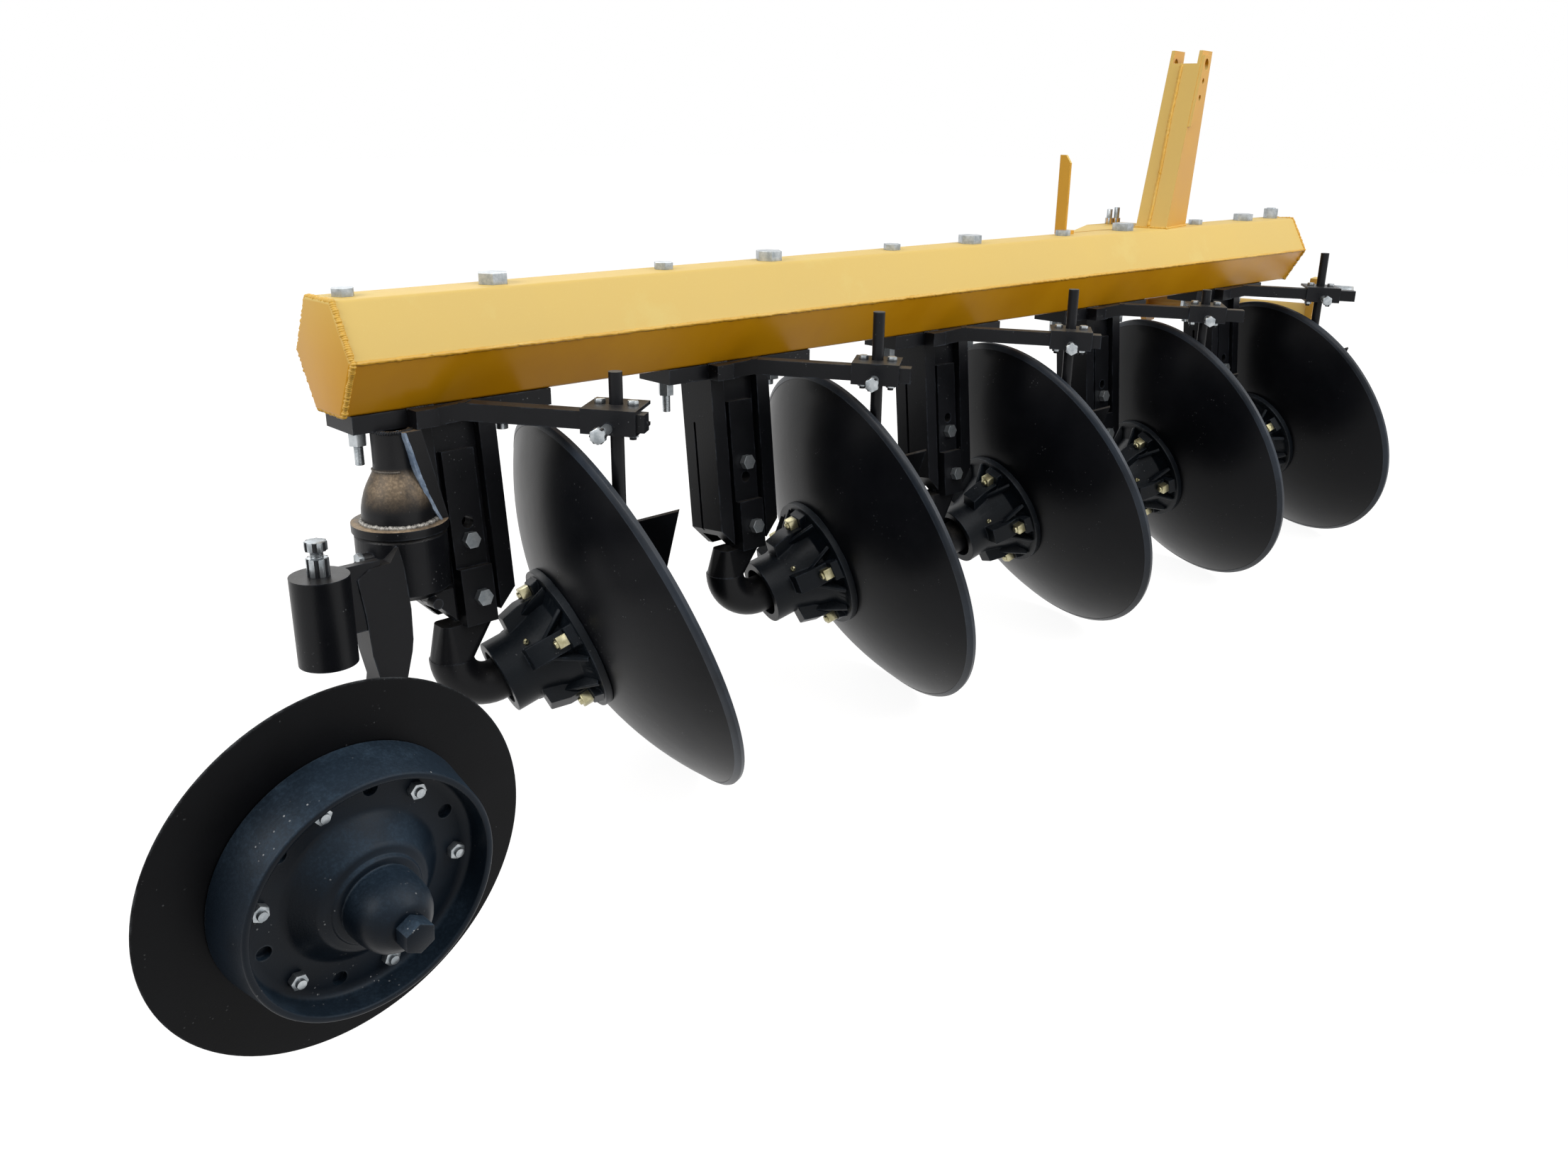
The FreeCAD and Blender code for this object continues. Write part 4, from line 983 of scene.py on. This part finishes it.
# One row per corner: radius, angle from the nut in degrees, height on the hub's axis
RIB_OUTLINE = [
    (64.0, 0.0, -172.0),
    (112.0, 23.0, -108.0),
    (104.0, 23.0, -103.0),
    (60.0, 21.0, -103.0),
    (50.0, 0.0, -150.0),
]


def make_ribs(k):
    """The ten ribs of hub k as one piece."""
    corners = []
    faces = []
    for i in range(5):
        for side in (-1, 1):
            points = []
            for r, angle, z in RIB_OUTLINE:
                a = math.radians(72.0 * i + side * angle)
                points.append(Vector((r * math.cos(a), r * math.sin(a), z)) / 1000.0)
            normal = (points[1] - points[0]).cross(points[4] - points[0]).normalized()
            first = len(corners)
            count = len(points)
            corners += [p + normal * RIB_HALF for p in points]
            corners += [p - normal * RIB_HALF for p in points]
            faces.append(tuple(first + j for j in range(count)))
            faces.append(tuple(first + count + j for j in reversed(range(count))))
            for j in range(count):
                n = (j + 1) % count
                faces.append((first + n, first + j, first + count + j, first + count + n))
    ribs = new_piece(f"hub_ribs_{k + 1}", corners, [], faces)
    edit_all()
    face_outward()
    soften(ribs, 0.0016)
    return dress(ribs, hub_matrix(k), hub_paint, f"disc_unit_{k + 1}", 32.0)


for k in range(5):
    make_ribs(k)
print("50 ribs")

# %% [markdown]
# A thread is read by its ridges catching the light. A zigzag profile is spun round the bolt's
# axis: closed rings instead of a true helix, which nobody can tell apart at this size.

# %% Threads
def thread(name, x, y, low, high, radius, body="plough_frame"):
    """Ridged sleeve on a bolt's tail between two heights of the drawing."""
    pitch = 2.0
    steps = int((high - low) / pitch)
    outline = [(radius - 1.5, low)]
    for i in range(steps):
        outline.append((radius, low + pitch * (i + 0.5)))
        outline.append((radius - 0.9, low + pitch * (i + 1)))
    corners = [spot(x + r, y, z) for r, z in outline]
    edges = [(i, i + 1) for i in range(len(outline) - 1)]
    piece = new_piece(name, corners, edges, [])
    edit_all()
    bpy.ops.mesh.spin(steps=24, angle=math.radians(360), center=spot(x, y, 0), axis=(0, 0, 1))
    bpy.ops.mesh.select_all(action="SELECT")
    bpy.ops.mesh.remove_doubles(threshold=0.00005)
    bpy.ops.mesh.select_non_manifold()
    bpy.ops.mesh.fill_holes(sides=0)
    face_outward()
    smooth(20.0)
    return hand_over(piece, zinc, body)


for k in range(5):
    tail = (PLATE_BOTTOM - 51.5, PLATE_BOTTOM - 24.0)
    thread(f"beam_bolt_thread_{k + 1}", DISC_SPACING * k + 38.0, 0.0, *tail, 6.8)
SPRING_BOLT = (-97.0, -140.0)
thread("spring_bolt_thread", *SPRING_BOLT, -225.0, -215.0, 8.5, "furrow_wheel_fork")
print("threads cut")

# %% [markdown]
# The adjusting bolt, its nut and the set bolts are zinc, while the boxes they sit in are
# painted. They are drawn a hair larger than the CAD solids below and cover them.

# %% Zinc caps over painted fasteners
def hexagon_cap(name, centre, way, flats, thick, body, turn=0.0, material=None):
    """Chamfered hexagon, centre in scene metres, way the bolt's direction."""
    bpy.ops.object.select_all(action="DESELECT")
    bpy.ops.mesh.primitive_cylinder_add(vertices=6, radius=flats / math.sqrt(3.0) / 1000.0,
                                        depth=thick / 1000.0, location=(0, 0, 0))
    cap = bpy.context.object
    cap.name = name
    soften(cap, 0.0012)
    cap.data.transform(axle_frame(centre, way) @ Matrix.Rotation(math.radians(turn), 4, "Z"))
    smooth(30.0)
    return hand_over(cap, material or zinc, body)


def round_cap(name, start, end, radius, body):
    """Round bar between two scene points, its end edges rounded."""
    way = (end - start).normalized()
    bpy.ops.object.select_all(action="DESELECT")
    bpy.ops.mesh.primitive_cylinder_add(vertices=32, radius=radius / 1000.0,
                                        depth=(end - start).length, location=(0, 0, 0))
    bar = bpy.context.object
    bar.name = name
    soften(bar, 0.0010)
    bar.data.transform(axle_frame((start + end) / 2.0, way))
    smooth(30.0)
    return hand_over(bar, zinc, body)


UPWARD = Vector((0, 0, 1))
hexagon_cap("spring_bolt_nut", spot(*SPRING_BOLT, -237.0), UPWARD, 25.6, 24.6, "furrow_wheel_fork")
hexagon_cap("spring_bolt_head", spot(*SPRING_BOLT, -209.0), UPWARD, 25.6, 12.6, "furrow_wheel_fork")

ARM_CRANK = (160.0, -84.0, -80.0)
ARM_END = (318.0, -289.0, -86.0)
# One row per scraper: how far its clamp sits from the arm's end, in millimetres
CLAMP_SLIDES = [2.0, 10.0, 8.0, 29.0, 27.0]
CLAMP_BACK = 48.0
CLAMP_BOLT_APART = 23.5
CLAMP_BOLT_BEHIND = 27.5
# The set bolt's seat behind and below the clamp's middle, and how far shank and head stand out
SET_BOLT_BEHIND = 17.5
SET_BOLT_DOWN = 8.0
SHANK_OUT = 36.0
HEAD_OUT = 43.0


def clamp_frame(k):
    """Middle of clamp k in the drawing, then the arm's way, the level way behind it and up."""
    shift = Vector((DISC_SPACING * k, 0, 0))
    way = (Vector(ARM_END) - Vector(ARM_CRANK)).normalized()
    behind = Vector((0, 0, 1)).cross(way).normalized()
    middle = Vector(ARM_END) + shift - way * (CLAMP_BACK + CLAMP_SLIDES[k])
    return middle, way, behind, way.cross(behind)


for k in range(5):
    middle, way, behind, up = clamp_frame(k)
    for letter, side in (("a", -1), ("b", 1)):
        base = middle + way * (CLAMP_BOLT_APART * side) + behind * CLAMP_BOLT_BEHIND
        for label, height, thick in (("top", 20.5, 6.8), ("low", -22.5, 10.6)):
            name = f"clamp_bolt_{label}_{k + 1}_{letter}"
            hexagon_cap(name, spot(*(base + up * height)), up, 14.6, thick, "plough_frame")
    face = middle - behind * SET_BOLT_BEHIND - up * SET_BOLT_DOWN
    head = spot(*(face - behind * HEAD_OUT))
    start = spot(*(face - behind * SHANK_OUT))
    end = spot(*(face - behind))
    hexagon_cap(f"set_bolt_head_{k + 1}", head, -behind, 20.6, 10.8, "plough_frame")
    round_cap(f"set_bolt_{k + 1}", start, end, 7.3, "plough_frame")

BACKWARD = Vector((-1, 0, 0))
hexagon_cap("head_bolt_side", spot(-2.0, -53.0, -272.0), BACKWARD, 19.0, 8.0, "furrow_wheel_fork")


def on_wheel(angle, height):
    """Scene point on the stud circle at an angle in degrees and a height in millimetres."""
    a = math.radians(angle)
    seat = Vector((STUD_CIRCLE * math.cos(a), STUD_CIRCLE * math.sin(a), 0)) / 1000.0
    return WHEEL @ (seat + Vector((0, 0, height / 1000.0)))


OUTWARD = WHEEL.to_3x3() @ Vector((0, 0, 1))
cap_top = WHEEL @ Vector((0, 0, 0.1469))
hexagon_cap("wheel_cap_nut", cap_top, OUTWARD, 34.0, 21.9, "furrow_wheel", 0.0, wheel_paint)
for i, angle in enumerate(STUD_ANGLES):
    hexagon_cap(f"wheel_nut_{i + 1}", on_wheel(angle, 40.5), OUTWARD, 19.0, 9.4, "furrow_wheel", 20.0 * i)
    round_cap(f"wheel_stud_{i + 1}", on_wheel(angle, 30.0), on_wheel(angle, 49.8), 6.0, "furrow_wheel")

for i, (x, y, tall) in enumerate(((2039.0, 133.0, 34.0), (2054.0, 123.0, 38.0))):
    hexagon_cap(f"deck_nut_{i + 1}", spot(x, y, 84.2), UPWARD, 16.8, 14.4, "plough_frame")
    round_cap(f"deck_stud_{i + 1}", spot(x, y, 80.0), spot(x, y, 77.4 + tall), 6.4, "plough_frame")
print("zinc caps fitted")

# %% [markdown]
# The two hitch pins are turned from bright steel and plated, and the paint stops at the crank
# plates. Round bars a hair thicker than the painted pins of the cross shaft cover them.

# %% Hitch pins
# The drawing's middle of the cross shaft, the crank plates' faces from it, and the pin's length
SHAFT_MIDDLE = Vector((2671.0, 333.0, -112.0))
CRANK_FACE = 412.7
PIN_SHOWS = 88.1
right = Vector((math.sin(TRAVEL), -math.cos(TRAVEL), 0))
for label, side in (("right", 1), ("left", -1)):
    root = SHAFT_MIDDLE + right * (side * CRANK_FACE)
    tip = root + right * (side * PIN_SHOWS)
    round_cap(f"{label}_hitch_pin", spot(*root), spot(*tip), 14.5, "plough_frame")
print("hitch pins")

# %% [markdown]
# The gusset beside the pipe was cut with a flame and left bare on its edge. A strip a little
# wider than the plate follows the cut, carries the bluish scale and swells in the middle.

# %% Flame-cut edge of the gusset
GUSSET_EDGE = [(72.0, -102.4), (80.2, -131.0), (88.0, -160.0), (93.2, -176.0), (98.0, -191.0),
               (107.0, -212.0), (118.0, -236.5)]
EDGE_SWELL = [0.8, 1.0, 2.2, 3.4, 3.8, 2.8, 0.8]
EDGE_NEAR = -71.5
EDGE_FAR = -48.4


def make_cut_edge():
    """Strip over the cut edge that swells where the flame wandered."""
    corners = []
    for (x, z), swell in zip(GUSSET_EDGE, EDGE_SWELL):
        for shift, y in ((-swell, EDGE_NEAR), (-swell, EDGE_FAR), (3.0, EDGE_FAR), (3.0, EDGE_NEAR)):
            corners.append(spot(x + shift, y, z))
    faces = [(3, 2, 1, 0)]
    for i in range(len(GUSSET_EDGE) - 1):
        for j in range(4):
            a = 4 * i + j
            b = 4 * i + (j + 1) % 4
            faces.append((a, b, b + 4, a + 4))
    last = 4 * (len(GUSSET_EDGE) - 1)
    faces.append((last, last + 1, last + 2, last + 3))
    strip = new_piece("gusset_cut_edge", corners, [], faces)
    edit_all()
    bpy.ops.mesh.subdivide(number_cuts=4, smoothness=0.0)
    bpy.ops.transform.vertex_random(offset=0.0006, seed=3)
    face_outward()
    return hand_over(strip, cut_steel, "plough_frame")


make_cut_edge()
print("cut edge")

# %% [markdown]
# Light: the photograph has an open sky and no hard shadow. One wide lamp overhead on the camera
# side is the sky's bright part, a low one at the front right puts the sheen on the beam's upper
# face, and one behind and a weak one on the far side draw the ends and backs of the pieces.

# %% Lamps
def lamp(name, place, target, width, height, power):
    """Wide soft lamp that faces a target; power in watts."""
    data = bpy.data.lights.new(name, "AREA")
    data.shape = "RECTANGLE"
    data.size = width
    data.size_y = height
    data.energy = power
    thing = bpy.data.objects.new(name, data)
    bpy.context.collection.objects.link(thing)
    thing.location = place
    thing.rotation_mode = "QUATERNION"
    thing.rotation_quaternion = (Vector(target) - Vector(place)).to_track_quat("-Z", "Y")
    return thing


MIDDLE = (-1.5, 0.0, -0.1)
lamp("sky_lamp", (-1.1, -2.8, 4.2), MIDDLE, 5.0, 4.0, 130.0)
lamp("side_lamp", (1.0, -4.2, 2.6), (-0.5, 0.0, 0.0), 3.0, 2.0, 135.0)
lamp("rear_lamp", (-6.2, 0.2, 2.4), MIDDLE, 2.5, 2.0, 115.0)
lamp("far_lamp", (-0.6, 4.6, 3.0), MIDDLE, 4.0, 2.5, 75.0)
print("four lamps")

# %% [markdown]
# The world lights the plough as a dim blue-white sky, but the camera, mirrors and glass see plain
# white in its place. The light path node tells the two kinds of ray apart.

# %% World
world = bpy.data.worlds.new("open_sky")
bpy.context.scene.world = world
world.use_nodes = True
tree = world.node_tree
sky = tree.nodes["Background"]
sky.inputs["Color"].default_value = (0.93, 0.96, 1.0, 1.0)
sky.inputs["Strength"].default_value = 0.34
white = add(tree, "ShaderNodeBackground", (-200, -200))
white.inputs["Color"].default_value = (1.0, 1.0, 1.0, 1.0)
white.inputs["Strength"].default_value = 1.0
path = add(tree, "ShaderNodeLightPath", (-600, 0))
seen = maths(tree, "MAXIMUM", path.outputs["Is Camera Ray"], path.outputs["Is Glossy Ray"], (-400, 0))
seen = maths(tree, "MAXIMUM", seen, path.outputs["Is Transmission Ray"], (-200, 0))
choice = add(tree, "ShaderNodeMixShader", (100, 0))
join(tree, seen, choice.inputs[0])
join(tree, sky.outputs[0], choice.inputs[1])
join(tree, white.outputs[0], choice.inputs[2])
join(tree, choice.outputs[0], tree.nodes["World Output"].inputs["Surface"])
print("world", world.name)

# %% [markdown]
# The floor is a pale matt paint that takes the plough's shadow. A glow is added to it for the
# camera and for mirrors alone, so it reads as white without lighting the plough from below.

# %% Floor
FLOOR_GAP = 0.0005
floor_height = cad_low.z - FLOOR_GAP
bpy.ops.object.select_all(action="DESELECT")
bpy.ops.mesh.primitive_plane_add(size=60.0, location=(0, 0, floor_height))
floor = bpy.context.object
floor.name = "floor"
bpy.ops.object.transform_apply(location=True, rotation=True, scale=True)
floor_paint = bpy.data.materials.new("pale_floor")
floor_paint.use_nodes = True
tree = floor_paint.node_tree
shader = tree.nodes["Principled BSDF"]
shader.inputs["Base Color"].default_value = (0.25, 0.24, 0.23, 1.0)
shader.inputs["Roughness"].default_value = 0.9
shader.inputs["Specular IOR Level"].default_value = 0.0
glow = add(tree, "ShaderNodeEmission", (0, -300))
glow.inputs["Color"].default_value = (1.0, 1.0, 1.0, 1.0)
glow.inputs["Strength"].default_value = 0.93
path = add(tree, "ShaderNodeLightPath", (-400, -500))
seen = maths(tree, "MAXIMUM", path.outputs["Is Camera Ray"], path.outputs["Is Glossy Ray"], (-200, -500))
nothing = add(tree, "ShaderNodeEmission", (0, -500))
nothing.inputs["Strength"].default_value = 0.0
veil = add(tree, "ShaderNodeMixShader", (200, -400))
join(tree, seen, veil.inputs[0])
join(tree, nothing.outputs[0], veil.inputs[1])
join(tree, glow.outputs[0], veil.inputs[2])
total = add(tree, "ShaderNodeAddShader", (400, 0))
join(tree, shader.outputs[0], total.inputs[0])
join(tree, veil.outputs[0], total.inputs[1])
join(tree, total.outputs[0], tree.nodes["Material Output"].inputs["Surface"])
finish_with(floor, floor_paint)
print("floor at", round(floor_height, 4))

bpy.context.scene.view_settings.view_transform = "Standard"
